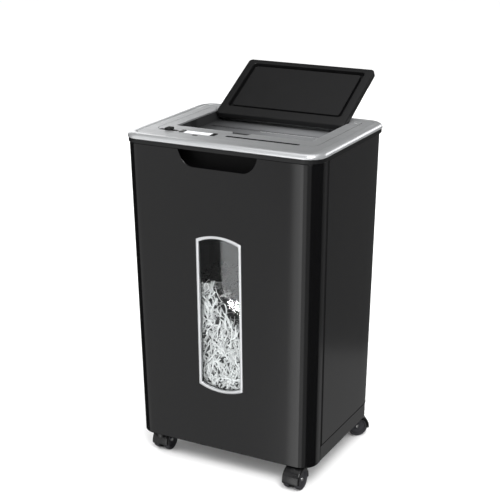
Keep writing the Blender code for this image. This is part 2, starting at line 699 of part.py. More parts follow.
# ---------------------------------------------------------------- head
def head_rect(inset):
    return (-HEAD_W / 2 + inset, HEAD_W / 2 - inset, HEAD_FRONT + inset, HEAD_REAR - inset)


def skirt_rect(inset=0.0):
    x0, x1, _, y1 = cabinet_rect(CAB_TOP - SKIRT_DROP, PANEL_T + 0.004 + inset)
    front = front_y(CAB_TOP) + PANEL_T + GAP + POCKET_D + 0.0025 + inset
    return (x0, x1, front, y1)


def head_housing():
    """Dark frame between cabinet and rim, with a skirt that locates inside the cabinet."""
    obj = part("head_housing", prism(BAND_BOTTOM, BAND_TOP, head_rect(BAND_INSET),
                                     radius=RIM_CORNER_R - BAND_INSET), "black_plastic")
    corner = CORNER_R - PANEL_T
    join(obj, prism(CAB_TOP - SKIRT_DROP, BAND_BOTTOM + 0.001, skirt_rect(), radius=corner,
                    segments=4))
    cut(obj, prism(CAB_TOP - SKIRT_DROP - OVER, BAND_TOP + OVER, skirt_rect(SKIRT_T),
                   radius=corner - SKIRT_T, segments=4))
    return smooth(obj)


def rim():
    """Silver surround of the deck, its outer top edge rounded, with a ledge for the deck."""
    obj = part("rim", prism(RIM_BOTTOM, RIM_TOP, head_rect(0.0), radius=RIM_CORNER_R,
                            segments=10, top_round=RIM_ROUND, top_segments=4), "silver_plastic")
    cut(obj, prism(DECK_BOTTOM - GAP, RIM_TOP + OVER, head_rect(RIM_W), radius=DECK_R + GAP))
    cut(obj, prism(RIM_BOTTOM - OVER, RIM_TOP, head_rect(RIM_W + RIM_LEDGE), radius=DECK_R))
    return smooth(obj)


def tray_opening(grow=0.0):
    """Feed opening with its finger notch in the front edge."""
    half, notch = TRAY_W / 2 + grow, NOTCH_W / 2 + grow
    front, rear, tip = TRAY_FRONT - grow, TRAY_REAR + grow, TRAY_FRONT - NOTCH_D - grow
    mouth, inner = notch + NOTCH_MOUTH, notch - NOTCH_TIP
    return [(-half, front), (-mouth, front), (-inner, tip), (inner, tip), (mouth, front),
            (half, front), (half, rear), (-half, rear)]


def notch_block(grow, z0, z1):
    """The finger notch as a block that reaches a little way into the tray."""
    corners = tray_opening(grow)[1:5]
    inside = TRAY_FRONT + NOTCH_TIP
    back = [(corners[3][0], inside), (corners[0][0], inside)]
    return plate(corners + back, [], z1 - z0, at(0.0, 0.0, (z0 + z1) / 2))


def slot_rect():
    return (CARD_SLOT_X0, CARD_SLOT_X1,
            CONTROL_Y - CARD_SLOT_GAP / 2, CONTROL_Y + CARD_SLOT_GAP / 2)


def centred(x, y, wide, deep, radius=0.001, count=3):
    return rounded(x - wide / 2, x + wide / 2, y - deep / 2, y + deep / 2, radius, count)


def deck():
    """Silver plate with the feed opening, the card slot and the control openings."""
    fit = 2 * GAP
    holes = [tray_opening(), rounded(*slot_rect(), 0.001, 2),
             centred(KNOB_X, CONTROL_Y, BED_W + fit, BED_D + fit),
             centred(LENS_X, CONTROL_Y, LENS_W + fit, BUTTON_D + fit),
             centred(LED_X, LED_Y, LED_W + fit, LED_D + fit, LED_D, 5),
             centred(PLUG_X, PLUG_Y, PLUG_W + fit, PLUG_D + fit, PLUG_W, 5)]
    holes += [centred(x, CONTROL_Y, BUTTON_W + fit, BUTTON_D + fit, 0.0008, 2) for x in BUTTON_X]
    outline = rounded(-DECK_X, DECK_X, DECK_FRONT, DECK_REAR, DECK_R, 8)
    mesh = plate(outline, holes, DECK_T, at(0.0, 0.0, (DECK_TOP + DECK_BOTTOM) / 2))
    obj = part("deck", mesh, "silver_plastic")
    for side in (-1, 1):
        reach = sorted((side * (TRAY_W / 2 - TRAY_WALL), side * (TRAY_W / 2 + 2 * TRAY_WALL)))
        cut(obj, box(*reach, *pin_notch(), DECK_BOTTOM - OVER, DECK_TOP + OVER))
    side = DECK_X - GROOVE_SIDE
    rear = DECK_REAR - 0.0125
    line = [rounded(-side + w, side - w, CONTROL_Y + w, rear - w, GROOVE_R - w, 5)
            for w in (0.0, GROOVE_W)]
    return cut(obj, plate(line[0], line[1:], 2 * GROOVE_DEPTH, at(0.0, 0.0, DECK_TOP)))


def feed_tray():
    """Tray under the feed opening, with the paper throat through its floor."""
    wall = TRAY_WALL
    z0, z1 = TRAY_FLOOR - wall, DECK_BOTTOM - GAP
    half, top = TRAY_W / 2, z1 + OVER
    obj = part("feed_tray", box(-half - wall, half + wall, TRAY_FRONT - wall, TRAY_REAR + wall,
                                z0, z1), "grey_plastic")
    notch_floor = DECK_TOP - NOTCH_DEPTH
    join(obj, notch_block(wall, notch_floor - wall, z1))
    cut(obj, box(-half, half, TRAY_FRONT, TRAY_REAR, TRAY_FLOOR, top),
        notch_block(0.0, notch_floor, top))
    cut(obj, box(-THROAT_W / 2, THROAT_W / 2, THROAT_Y - THROAT_D / 2, THROAT_Y + THROAT_D / 2,
                 z0 - OVER, TRAY_FLOOR + 0.002))
    for side in (-1, 1):
        inner, outer = side * (TRAY_W / 2 - 0.002), side * (TRAY_W / 2 + wall + 0.002)
        notch = arc(COVER_PIVOT_Y, COVER_PIVOT_Z, PIN_R + GAP, 180, 360, 6)
        over = [(notch[-1][0], z1 + OVER), (notch[0][0], z1 + OVER)]
        cut(obj, plate(notch + over, [], abs(outer - inner), at((inner + outer) / 2) @ ACROSS))
    return obj


def pin_notch():
    """Front and rear of the open-topped notch that a hinge pin drops into."""
    return COVER_PIVOT_Y - PIN_R - GAP, COVER_PIVOT_Y + PIN_R + GAP


def cover_transform():
    """From the cover drawn shut, hinge line at the origin, to where it stands open."""
    turn = Matrix.Rotation(-math.radians(180.0 - COVER_OPEN), 4, "X")
    return at(0.0, COVER_PIVOT_Y, COVER_PIVOT_Z) @ turn


def cover_length():
    return COVER_PIVOT_Y - TRAY_FRONT - 0.001


def feed_cover(parent):
    """Cover that leans back as a paper support: a shell with a wide border on its inner face."""
    top, bottom = COVER_PIVOT_DROP, COVER_PIVOT_DROP - COVER_T
    half, tip, tail = COVER_W / 2, -cover_length(), COVER_TAIL
    outline = (arc(-half + COVER_CORNER_R, tip + COVER_CORNER_R, COVER_CORNER_R, 180, 270, 5)
               + arc(half - COVER_CORNER_R, tip + COVER_CORNER_R, COVER_CORNER_R, 270, 360, 5)
               + [(half, tail - 0.002), (half - 0.002, tail), (-half + 0.002, tail),
                  (-half, tail - 0.002)])
    mesh = plate(outline, [], COVER_T, at(0.0, 0.0, (top + bottom) / 2))
    open_pose = cover_transform()
    mesh.transform(open_pose)
    obj = part("feed_cover", mesh, "black_plastic", open_pose.translation, parent)
    hollow = prism(bottom - OVER, top - COVER_SKIN,
                   (-half + COVER_BORDER, half - COVER_BORDER, tip + HOLLOW_TIP, -HOLLOW_TIP),
                   radius=HOLLOW_R, segments=3)
    hollow.transform(open_pose)
    cut(obj, hollow)
    for side in (-1, 1):
        bore = cylinder(PIN_R + GAP, (side * (half + OVER), 0, 0),
                        (side * (half - PIN_REACH - GAP), 0, 0), 12)
        bore.transform(open_pose)
        cut(obj, bore)
    return obj


def pressure_plate(parent):
    """Flat plate inside the cover that holds the stack down on the feed rollers."""
    top = COVER_PIVOT_DROP - COVER_SKIN - GAP
    half, inset = COVER_W / 2 - COVER_BORDER - PRESSER_MARGIN, HOLLOW_TIP + PRESSER_MARGIN
    mesh = prism(top - PRESSER_T, top, (-half, half, -cover_length() + inset, -inset),
                 radius=PRESSER_R, segments=3)
    mesh.transform(cover_transform())
    return part("pressure_plate", mesh, "black_plastic", cover_transform().translation, parent)


def hinge_pin(name, side, parent):
    inner = side * (COVER_W / 2 - PIN_REACH)
    outer = side * (TRAY_W / 2 + 1.4 * TRAY_WALL)
    mesh = cylinder(PIN_R, (inner, COVER_PIVOT_Y, COVER_PIVOT_Z),
                    (outer, COVER_PIVOT_Y, COVER_PIVOT_Z), 12)
    return smooth(part(name, mesh, "steel", (0.0, COVER_PIVOT_Y, COVER_PIVOT_Z), parent))


def control_pieces():
    """Slider and its bed, two push buttons, the light bar, the status light and the plug."""
    bed_top = DECK_TOP - BED_SINK
    slot = centred(KNOB_X, CONTROL_Y, 2 * KNOB_TRAVEL + BED_SLOT_EXTRA, BED_SLOT_D)
    part("slider_bed", plate(centred(KNOB_X, CONTROL_Y, BED_W, BED_D), [slot], BED_T,
                             at(0.0, 0.0, bed_top - BED_T / 2)), "black_plastic")
    knob_z = DECK_TOP + GAP
    knob = part("power_slider", prism(knob_z, knob_z + KNOB_H,
                                      (KNOB_X - KNOB_W / 2, KNOB_X + KNOB_W / 2,
                                       CONTROL_Y - KNOB_D / 2, CONTROL_Y + KNOB_D / 2),
                                      radius=0.0015, segments=3, top_round=0.0008, top_segments=2),
                "black_plastic", (KNOB_X, CONTROL_Y, knob_z))
    join(knob, box(KNOB_X - KNOB_STEM_W / 2, KNOB_X + KNOB_STEM_W / 2,
                   CONTROL_Y - KNOB_STEM_D / 2, CONTROL_Y + KNOB_STEM_D / 2,
                   bed_top - KNOB_STEM_DROP, knob_z + 2 * RUN))
    for name, x in zip(("button_reverse", "button_forward"), BUTTON_X):
        low = DECK_BOTTOM - BUTTON_SKIRT
        key = prism(low, DECK_TOP + BUTTON_RISE,
                    (x - BUTTON_W / 2, x + BUTTON_W / 2,
                     CONTROL_Y - BUTTON_D / 2, CONTROL_Y + BUTTON_D / 2),
                    radius=0.0008, segments=2, top_round=0.0004, top_segments=1)
        button = part(name, key, "black_plastic", (x, CONTROL_Y, DECK_TOP))
        stem = BUTTON_STEM_W / 2
        join(button, box(x - stem, x + stem, CONTROL_Y - stem, CONTROL_Y + stem,
                         low - BUTTON_STEM_H, low + 2 * RUN))
    flush = (("indicator_lens", LENS_X, CONTROL_Y, LENS_W, BUTTON_D, 0.001, 3, "frost_plastic"),
             ("status_led", LED_X, LED_Y, LED_W, LED_D, LED_D, 5, "black_plastic"),
             ("service_plug", PLUG_X, PLUG_Y, PLUG_W, PLUG_D, PLUG_W, 5, "silver_plastic"))
    for name, x, y, wide, deep, radius, count, look in flush:
        part(name, plate(centred(x, y, wide, deep, radius, count), [], DECK_T,
                         at(0.0, 0.0, DECK_TOP + TRIM_RISE - DECK_T / 2)), look)


def control_board():
    """Circuit board under the controls, with a switch body under each button."""
    z1 = DECK_BOTTOM - BOARD_DROP
    x0 = KNOB_X - BOARD_MARGIN
    y0 = skirt_rect(SKIRT_T)[2] + POCKET_WALL
    obj = part("control_board", box(x0, x0 + BOARD_W, y0, y0 + BOARD_D, z1 - BOARD_T, z1),
               "board_green")
    half = SWITCH_BODY_W / 2
    for x in (*BUTTON_X, KNOB_X):
        join(obj, box(x - half, x + half, CONTROL_Y - half, CONTROL_Y + half,
                      z1 - RUN, z1 + SWITCH_BODY_H))
    return obj


def card_guide():
    """Sloping plate that leads a card from its slot back to the cutters."""
    x0, x1, y0, _ = slot_rect()
    start = Vector((0.0, y0 - 2 * RUN, DECK_BOTTOM - GUIDE_T))
    end = Vector((0.0, NIP_Y - 5 * GUIDE_T, SHAFT_Z + DISC_R + 7 * RUN))
    run = end - start
    mesh = box(x0, x1, 0.0, run.length, -GUIDE_T, 0.0)
    mesh.transform(Matrix.Translation(start) @ Matrix.Rotation(math.atan2(run.z, run.y), 4, "X"))
    return part("card_guide", mesh, "black_plastic")


# ---------------------------------------------------------------- cutting block
def shaft_y(side):
    return NIP_Y + side * SHAFT_SPACING / 2


def gear_distance(teeth_a, teeth_b, module):
    return module * (teeth_a + teeth_b) / 2


def gear_centres():
    """Centre (y, z) of every shaft, placed by the pitch radii of the gears they carry."""
    front, rear = (shaft_y(-1), SHAFT_Z), (shaft_y(1), SHAFT_Z)
    reach = gear_distance(DRIVE_TEETH, DRIVE_PINION_TEETH, DRIVE_MODULE)
    compound = (rear[0] + reach, SHAFT_Z)
    reach = gear_distance(WHEEL_TEETH, MOTOR_TEETH, WHEEL_MODULE)
    angle = math.radians(MOTOR_ANGLE)
    motor = (compound[0] + reach * math.cos(angle), compound[1] + reach * math.sin(angle))
    reach = gear_distance(FEED_DRIVE_TEETH, FEED_TEETH, FEED_MODULE)
    feed = (rear[0] + math.sqrt(reach ** 2 - (ROLLER_Z - SHAFT_Z) ** 2), ROLLER_Z)
    pinch = (feed[0] + ROLLER_R + PINCH_R + PAPER_GAP, ROLLER_Z)
    return {"front": front, "rear": rear, "compound": compound, "motor": motor, "feed": feed,
            "pinch": pinch}


def gear_outline(teeth, module, phase):
    """Spur gear outline, one tooth centred on the phase angle (radians)."""
    pitch = module * teeth / 2
    root, tip = pitch - module, pitch + 0.75 * module
    step = math.tau / teeth
    points = []
    for tooth in range(teeth):
        middle = phase + tooth * step
        for share, radius in ((-0.30, root), (-0.125, tip), (0.125, tip), (0.30, root)):
            angle = middle + share * step
            points.append((radius * math.cos(angle), radius * math.sin(angle)))
    return points


def mating_phase(phase, teeth, other_teeth, centre, other_centre):
    """Phase of a second gear whose gap faces the first gear's tooth."""
    line = math.atan2(other_centre[1] - centre[1], other_centre[0] - centre[0])
    return line + math.pi + math.pi / other_teeth - (phase - line) * teeth / other_teeth


def gear_mesh(teeth, module, phase, centre, x0, x1, bore):
    return plate(gear_outline(teeth, module, phase), [circle(0, 0, bore, 12)], x1 - x0,
                 at((x0 + x1) / 2, *centre) @ ACROSS)


def x_bar(radius, centre, x0, x1, segments=16):
    return cylinder(radius, (x0, *centre), (x1, *centre), segments)


def chassis():
    """Steel pan that carries the cutting block, open below the cutters."""
    z0, z1 = CHASSIS_TOP - CHASSIS_T, CHASSIS_TOP
    half = cabinet_rect(z0, PANEL_T + CHASSIS_SIDE)[1]
    y0, y1 = HEAD_FRONT + CHASSIS_FRONT, cabinet_rect(z0, PANEL_T + CHASSIS_REAR)[3]
    obj = part("chassis", prism(z0, z1, (-half, half, y0, y1), radius=CORNER_R, segments=4),
               "steel")
    flange = half - CORNER_R - CHASSIS_T / 2
    join(obj, box(-flange, flange, y1 - CHASSIS_T, y1, z0, z1 + FLANGE_H))
    wide, long = THROAT_W / 2, SHRED_GAP_L / 2
    return cut(obj, box(-wide, wide, NIP_Y - long, NIP_Y + long, z0 - OVER, z1 + OVER))


def side_plate(name, side, centres):
    """Bearing plate at each end of the cutters."""
    x0, x1 = sorted((side * PLATE_X, side * (PLATE_X + PLATE_T)))
    z0, z1 = CHASSIS_TOP + GAP, TRAY_FLOOR - TRAY_WALL - 2 * RUN
    holes = [("front", JOURNAL_R + RUN), ("rear", JOURNAL_R + RUN),
             ("feed", ROLLER_SHAFT_R + RUN), ("pinch", PINCH_SHAFT_R + RUN)]
    y0, y1 = NIP_Y - PLATE_FRONT, centres["motor"][0] + MOTOR_R + PLATE_REAR
    outline = rounded(y0, y1, z0, z1, PLATE_R, 3)
    if side < 0:
        holes.append(("motor", MOTOR_HOLE_R))
    rings = [circle(*centres[key], radius, 12) for key, radius in holes]
    obj = part(name, plate(outline, rings, PLATE_T, at((x0 + x1) / 2) @ ACROSS), "steel")
    if side < 0:
        join(obj, x_bar(COMPOUND_PIN_R, centres["compound"], x0 - COMPOUND_PIN_REACH,
                        x0 + PLATE_T / 2, 12))
    return obj


def cutter_profile(shift, left_reach):
    """Half section of a cutter shaft: journals, core and evenly pitched discs."""
    end = PLATE_X + PLATE_T
    left_end, right_end = -end - left_reach, end + SHAFT_RIGHT
    first = -(DISC_COUNT - 1) / 2 * DISC_PITCH + shift
    edge = PLATE_X - CORE_GAP
    points = [(0.0, right_end), (JOURNAL_R, right_end), (JOURNAL_R, edge), (CORE_R, edge)]
    for number in reversed(range(DISC_COUNT)):
        middle = first + number * DISC_PITCH
        points += [(CORE_R, middle + DISC_T / 2), (DISC_R, middle + DISC_T / 2),
                   (DISC_R, middle - DISC_T / 2), (CORE_R, middle - DISC_T / 2)]
    points += [(CORE_R, -edge), (JOURNAL_R, -edge), (JOURNAL_R, left_end), (0.0, left_end)]
    return points


def turning_part(name, mesh, look, centre, parent):
    return part(name, mesh, look, (0.0, *centre), parent)


def cutters_and_gears(centres):
    """Both cutter shafts with their gears, the reduction, the motor and the feed rollers."""
    hubs = {key: empty(key + "_axis", (0.0, *spot)) for key, spot in centres.items()}
    for key, shift, reach in (("front", -DISC_PITCH / 4, 0.0), ("rear", DISC_PITCH / 4, SHAFT_LEFT)):
        mesh = turned(cutter_profile(shift, reach), 10, at(0.0, *centres[key]) @ ACROSS)
        smooth(turning_part("cutter_shaft_" + key, mesh, "steel", centres[key], hubs[key]))
    end = PLATE_X + PLATE_T
    bore = JOURNAL_R + GAP
    sync_x = (end + GEAR_GAP, end + GEAR_GAP + GEAR_T)
    rear_phase = mating_phase(0.0, SYNC_TEETH, SYNC_TEETH, centres["front"], centres["rear"])
    for key, phase in (("front", 0.0), ("rear", rear_phase)):
        mesh = gear_mesh(SYNC_TEETH, SYNC_MODULE, phase, centres[key], *sync_x, bore)
        turning_part("sync_gear_" + key, mesh, "steel", centres[key], hubs[key])
    drive_x = (-end - GEAR_GAP - GEAR_T, -end - GEAR_GAP)
    mesh = gear_mesh(DRIVE_TEETH, DRIVE_MODULE, 0.0, centres["rear"], *drive_x, bore)
    turning_part("drive_gear", mesh, "steel", centres["rear"], hubs["rear"])

    phase = mating_phase(0.0, DRIVE_TEETH, DRIVE_PINION_TEETH, centres["rear"],
                         centres["compound"])
    wheel_x = (drive_x[0] - GEAR_GAP - GEAR_T, drive_x[0] - GEAR_GAP)
    hole = COMPOUND_PIN_R + RUN
    wheel = gear_mesh(WHEEL_TEETH, WHEEL_MODULE, 0.0, centres["compound"], *wheel_x, hole)
    compound = turning_part("compound_gear", wheel, "gear_plastic", centres["compound"],
                            hubs["compound"])
    join(compound, gear_mesh(DRIVE_PINION_TEETH, DRIVE_MODULE, phase, centres["compound"],
                             wheel_x[1] - GEAR_GAP / 2, drive_x[1], hole))

    phase = mating_phase(0.0, WHEEL_TEETH, MOTOR_TEETH, centres["compound"], centres["motor"])
    mesh = gear_mesh(MOTOR_TEETH, WHEEL_MODULE, phase, centres["motor"], *wheel_x,
                     MOTOR_SHAFT_R / 2)
    pinion = turning_part("motor_pinion", mesh, "steel", centres["motor"], hubs["motor"])
    join(pinion, x_bar(MOTOR_SHAFT_R, centres["motor"], wheel_x[0] - GEAR_GAP,
                       -PLATE_X + 2 * MOTOR_SHAFT_R, 12))

    feed_x = (sync_x[1] + GEAR_GAP, sync_x[1] + GEAR_GAP + GEAR_T)
    mesh = gear_mesh(FEED_DRIVE_TEETH, FEED_MODULE, 0.0, centres["rear"], *feed_x, bore)
    turning_part("feed_drive_gear", mesh, "gear_plastic", centres["rear"], hubs["rear"])
    phase = mating_phase(0.0, FEED_DRIVE_TEETH, FEED_TEETH, centres["rear"], centres["feed"])
    mesh = gear_mesh(FEED_TEETH, FEED_MODULE, phase, centres["feed"], *feed_x,
                     ROLLER_SHAFT_R + GAP)
    turning_part("feed_gear", mesh, "gear_plastic", centres["feed"], hubs["feed"])
    mesh = x_bar(ROLLER_SHAFT_R, centres["feed"], -end - GEAR_GAP / 2, feed_x[1] + GEAR_GAP, 12)
    smooth(turning_part("feed_shaft", mesh, "steel", centres["feed"], hubs["feed"]))
    for name, side in (("feed_tyre_left", -1), ("feed_tyre_right", 1)):
        middle = side * TYRE_X
        tyre = plate(circle(0, 0, ROLLER_R, 20), [circle(0, 0, ROLLER_SHAFT_R + GAP, 12)], TYRE_W,
                     at(middle, *centres["feed"]) @ ACROSS)
        smooth(turning_part(name, tyre, "rubber", centres["feed"], hubs["feed"]))
    edge = PLATE_X - GEAR_GAP
    profile = [(0.0, end), (PINCH_SHAFT_R, end), (PINCH_SHAFT_R, edge), (PINCH_R, edge),
               (PINCH_R, -edge), (PINCH_SHAFT_R, -edge), (PINCH_SHAFT_R, -end), (0.0, -end)]
    mesh = turned(profile, 12, at(0.0, *centres["pinch"]) @ ACROSS)
    smooth(turning_part("pinch_roller", mesh, "rubber", centres["pinch"], hubs["pinch"]))


def motor(centres):
    """Motor can on the inner face of the left plate, bored for its spindle."""
    x0 = -PLATE_X + GAP
    obj = part("motor", x_bar(MOTOR_R, centres["motor"], x0, x0 + MOTOR_LENGTH, 20), "steel")
    cut(obj, x_bar(MOTOR_BORE_R, centres["motor"], x0 - OVER, x0 + 4 * MOTOR_SHAFT_R, 12))
    return smooth(obj)


def comb(name, side, centres):
    """Stripper comb: a bar outside the cutters with a finger between each pair of discs."""
    key = "front" if side < 0 else "rear"
    shift = DISC_PITCH / 4 * side
    bar_y = centres[key][0] + side * (DISC_R + COMB_GAP)
    tip_y = centres[key][0] + side * (CORE_R + COMB_GAP)
    first = -(DISC_COUNT - 1) / 2 * DISC_PITCH + shift
    half = PLATE_X - GEAR_GAP
    finger = DISC_PITCH - DISC_T - COMB_CLEAR
    edge = []
    for number in range(DISC_COUNT - 1):
        middle = first + (number + 0.5) * DISC_PITCH
        edge += [(middle - finger / 2, bar_y), (middle - finger / 2, tip_y),
                 (middle + finger / 2, tip_y), (middle + finger / 2, bar_y)]
    back = bar_y + side * COMB_BAR
    outline = [(-half, back), (-half, bar_y), *edge, (half, bar_y), (half, back)]
    return part(name, plate(outline, [], COMB_T, at(0.0, 0.0, SHAFT_Z)), "steel")


# ---------------------------------------------------------------- casters
def hood_mesh():
    """Swivel hood drawn with its stem on the Z axis and its wheel towards -Y."""
    half = WEB_W / 2 + WHEEL_W + HOOD_SIDE
    wheel = (-CASTER_TRAIL, WHEEL_R)
    obj = bpy.data.objects.new("hood", x_bar(HOOD_R, wheel, -half, half, 24))
    bpy.context.scene.collection.objects.link(obj)
    cut(obj, x_bar(HOOD_R - HOOD_T, wheel, -half - OVER, half + OVER, 24))
    wide = 5 * HOOD_R
    cut(obj, box(-wide, wide, -wide, wide, -wide, WHEEL_R - HOOD_SKIRT))
    join(obj, x_bar(WHEEL_R - 0.002, wheel, -WEB_W / 2, WEB_W / 2, 20))
    join(obj, box(-WEB_W / 2, WEB_W / 2, wheel[0] - 0.008, wheel[0] + 0.008, WHEEL_R,
                  WHEEL_R + HOOD_R - HOOD_T / 2))
    join(obj, cylinder(SWIVEL_R, (0, 0, WHEEL_R + 0.0105), (0, 0, CAB_BOTTOM - RUN), 16))
    join(obj, cylinder(STEM_R, (0, 0, CAB_BOTTOM - STEM_R / 2), (0, 0, STEM_TOP), 12))
    for x0, x1 in ((WEB_W / 2 + 0.0001, half + OVER), (-half - OVER, -WEB_W / 2 - 0.0001)):
        cut(obj, x_bar(WHEEL_R + WHEEL_CLEAR, wheel, x0, x1, 24))
    cut(obj, x_bar(HUB_R + RUN, wheel, -wide, wide, 16))
    return evaluated_mesh(obj)


def wheel_mesh():
    """Twin wheels on one hub, hub axis along X, centred on the hub."""
    inner = WEB_W / 2 + RUN
    outer = inner + WHEEL_W - RUN
    dish, edge = outer - WHEEL_DISH, outer - WHEEL_EDGE
    side = [(0.0, edge), (HUB_R - 0.001, edge), (HUB_R + 0.0005, dish), (WHEEL_R - 0.004, dish),
            (WHEEL_R - WHEEL_DISH, outer), (WHEEL_R - 0.001, outer), (WHEEL_R, edge),
            (WHEEL_R, inner + 0.0005), (WHEEL_R - 0.0005, inner), (HUB_R, inner)]
    profile = side + [(r, -h) for r, h in reversed(side)]
    return turned(profile, WHEEL_STEPS, ACROSS)


def casters():
    hood, wheels = hood_mesh(), wheel_mesh()
    for place, side, y, heading in CASTERS:
        swivel = empty("swivel_" + place, (side * CASTER_X, y, 0.0))
        turn = Matrix.Rotation(math.radians(heading), 4, "Z")
        stand = at(side * CASTER_X, y) @ turn
        for name, mesh, offset, look in (("caster_hood_", hood, (0, 0, 0), "black_plastic"),
                                         ("caster_wheels_", wheels,
                                          (0, -CASTER_TRAIL, WHEEL_R), "rubber")):
            obj = part(name + place, mesh.copy(), look)
            obj.matrix_world = stand @ at(*offset)
            obj.parent = swivel
            obj.matrix_parent_inverse = Matrix.Translation(-swivel.location)
            smooth(obj)


# ---------------------------------------------------------------- assembly
def build():
    base()
    for side, name in ((-1, "left"), (1, "right")):
        side_panel("side_panel_" + name, side)
        head_shelf("head_shelf_" + name, side)
        drawer_rail("drawer_rail_" + name, side)
    rear_panel()
    power_inlet()
    interlock_switch()

    drawer = empty("drawer_slide", (0.0, 0.0, 0.0))
    for piece in (drawer_front, window_frame, window_pane, handle_pocket, bin_tub, interlock_tab):
        piece(drawer)

    head_housing()
    rim()
    deck()
    feed_tray()
    control_pieces()
    control_board()
    card_guide()
    hinge = empty("cover_hinge", (0.0, COVER_PIVOT_Y, COVER_PIVOT_Z))
    feed_cover(hinge)
    pressure_plate(hinge)
    hinge_pin("hinge_pin_left", -1, hinge)
    hinge_pin("hinge_pin_right", 1, hinge)

    centres = gear_centres()
    chassis()
    side_plate("cutter_plate_left", -1, centres)
    side_plate("cutter_plate_right", 1, centres)
    cutters_and_gears(centres)
    motor(centres)
    comb("comb_front", -1, centres)
    comb("comb_rear", 1, centres)
    casters()


clear_scene()
PARTS = collection("paper_shredder")
CUTTERS = collection("cutters")
build()
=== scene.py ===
"""Finished surfaces, materials and studio for a deskside paper shredder on casters.

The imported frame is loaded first. Each operator below builds or finishes one group of pieces
round it, in metres, +Z up, +X to the right and -Y to the front, with the floor at height 0.
"""
import json
import math

import bmesh
import bpy
import numpy as np
from mathutils import Euler, Matrix, Vector


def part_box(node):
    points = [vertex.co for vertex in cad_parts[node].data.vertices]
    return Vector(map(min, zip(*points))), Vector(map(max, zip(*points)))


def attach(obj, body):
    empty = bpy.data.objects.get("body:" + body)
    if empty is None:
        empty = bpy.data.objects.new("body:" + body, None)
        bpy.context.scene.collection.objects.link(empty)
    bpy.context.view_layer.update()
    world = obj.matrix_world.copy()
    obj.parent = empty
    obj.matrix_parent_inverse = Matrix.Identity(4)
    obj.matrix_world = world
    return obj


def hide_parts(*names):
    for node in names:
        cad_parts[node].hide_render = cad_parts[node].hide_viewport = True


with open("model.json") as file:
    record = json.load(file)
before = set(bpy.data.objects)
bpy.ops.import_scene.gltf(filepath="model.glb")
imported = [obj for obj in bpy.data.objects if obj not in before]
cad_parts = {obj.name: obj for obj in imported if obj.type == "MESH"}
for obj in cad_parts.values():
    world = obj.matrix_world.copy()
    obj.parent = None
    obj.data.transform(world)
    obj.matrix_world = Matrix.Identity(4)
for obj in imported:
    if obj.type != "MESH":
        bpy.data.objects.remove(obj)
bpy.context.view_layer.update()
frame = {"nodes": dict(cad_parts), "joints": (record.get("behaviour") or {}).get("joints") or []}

bl_info = {
    "name": "Paper shredder finish",
    "version": (1, 0, 0),
    "blender": (4, 5, 0),
    "location": "View3D > Sidebar > Shredder",
    "description": "Builds the finished surfaces, materials and studio of a paper shredder",
    "category": "Object",
}

# ------------------------------------------------------------------ sizes taken from the frame
RIM_LOW, RIM_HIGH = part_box("rim")
FRONT_LOW, FRONT_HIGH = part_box("drawer_front")
DECK_LOW, DECK_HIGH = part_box("deck")
SIDE_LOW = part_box("side_panel_right")[0]
TUB_LOW, TUB_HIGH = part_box("bin_tub")
CAB_BOTTOM, CAB_TOP = FRONT_LOW.z, FRONT_HIGH.z
DECK_TOP = DECK_HIGH.z
HEAD_HALF_W, HEAD_HALF_D = RIM_HIGH.x, RIM_HIGH.y
CAB_HALF_TOP = FRONT_HIGH.x
CAB_FRONT_TOP = FRONT_LOW.y

SIDE_TAPER, FRONT_TAPER, REAR_TAPER = 0.009, 0.008, 0.008
REAR_INSET = 0.007
CORNER_R = 0.028
PANEL_T = 0.0025
SEAM, SEAM_BACK = 0.0008, 0.037
REAR_RETURN = 0.031
GAP = 0.0003
RIM_R, RIM_W, RIM_LEDGE = 0.029, 0.0152, 0.006
WINDOW_HALF, WINDOW_RISE = 0.0402, 0.0087
WINDOW_LOW, WINDOW_HIGH = 0.1533, 0.4040
CUTOUT_HALF, CUTOUT_FLOOR_HALF, CUTOUT_H = 0.0695, 0.045, 0.0265
CONTROL_Y = -0.081
WHEEL_R, WEB_W, WHEEL_W, HOOD_R = 0.0175, 0.0085, 0.0105, 0.0205


# ------------------------------------------------------------------ settings
def length(name, default, description):
    return bpy.props.FloatProperty(name=name, default=default, description=description,
                                   unit="LENGTH", subtype="DISTANCE", precision=5)


def colour(name, default, description):
    return bpy.props.FloatVectorProperty(name=name, default=default, description=description,
                                         subtype="COLOR", size=3, min=0.0, max=1.0)


class ShredderSizes(bpy.types.PropertyGroup):
    """Sizes of the finished surfaces."""
    edge_radius: length("Panel edge radius", 0.0012, "Rounding of the sheet panels' edges")
    rim_round: length("Rim rounding", 0.0068, "Rounding of the rim's outer top edge")
    shred_width: length("Shred width", 0.0027, "Width of one paper shred")
    shred_length: length("Shred length", 0.026, "Length of one paper shred")
    grain: length("Moulded grain", 0.0006, "Size of the grain on moulded plastic")


class ShredderColours(bpy.types.PropertyGroup):
    """Colours of the finished surfaces, as linear values."""
    charcoal: colour("Charcoal", (0.0025, 0.0025, 0.0027), "Painted cabinet panels")
    black: colour("Black", (0.0055, 0.0055, 0.0058), "Moulded black plastic")
    grey: colour("Grey", (0.125, 0.127, 0.131), "Feed tray and interlock switch")
    silver: colour("Silver", (0.60, 0.61, 0.62), "Rim, deck and window surround")
    lens: colour("Lens", (0.86, 0.88, 0.90), "Frosted light bar")
    smoke: colour("Window tint", (0.94, 0.95, 0.95), "Tint of the clear window")
    paper: colour("Paper", (0.93, 0.93, 0.92), "Shredded paper")
    floor: colour("Floor", (0.96, 0.96, 0.96), "Studio floor")


def sizes():
    return bpy.context.scene.shredder_sizes


def colours():
    return bpy.context.scene.shredder_colours


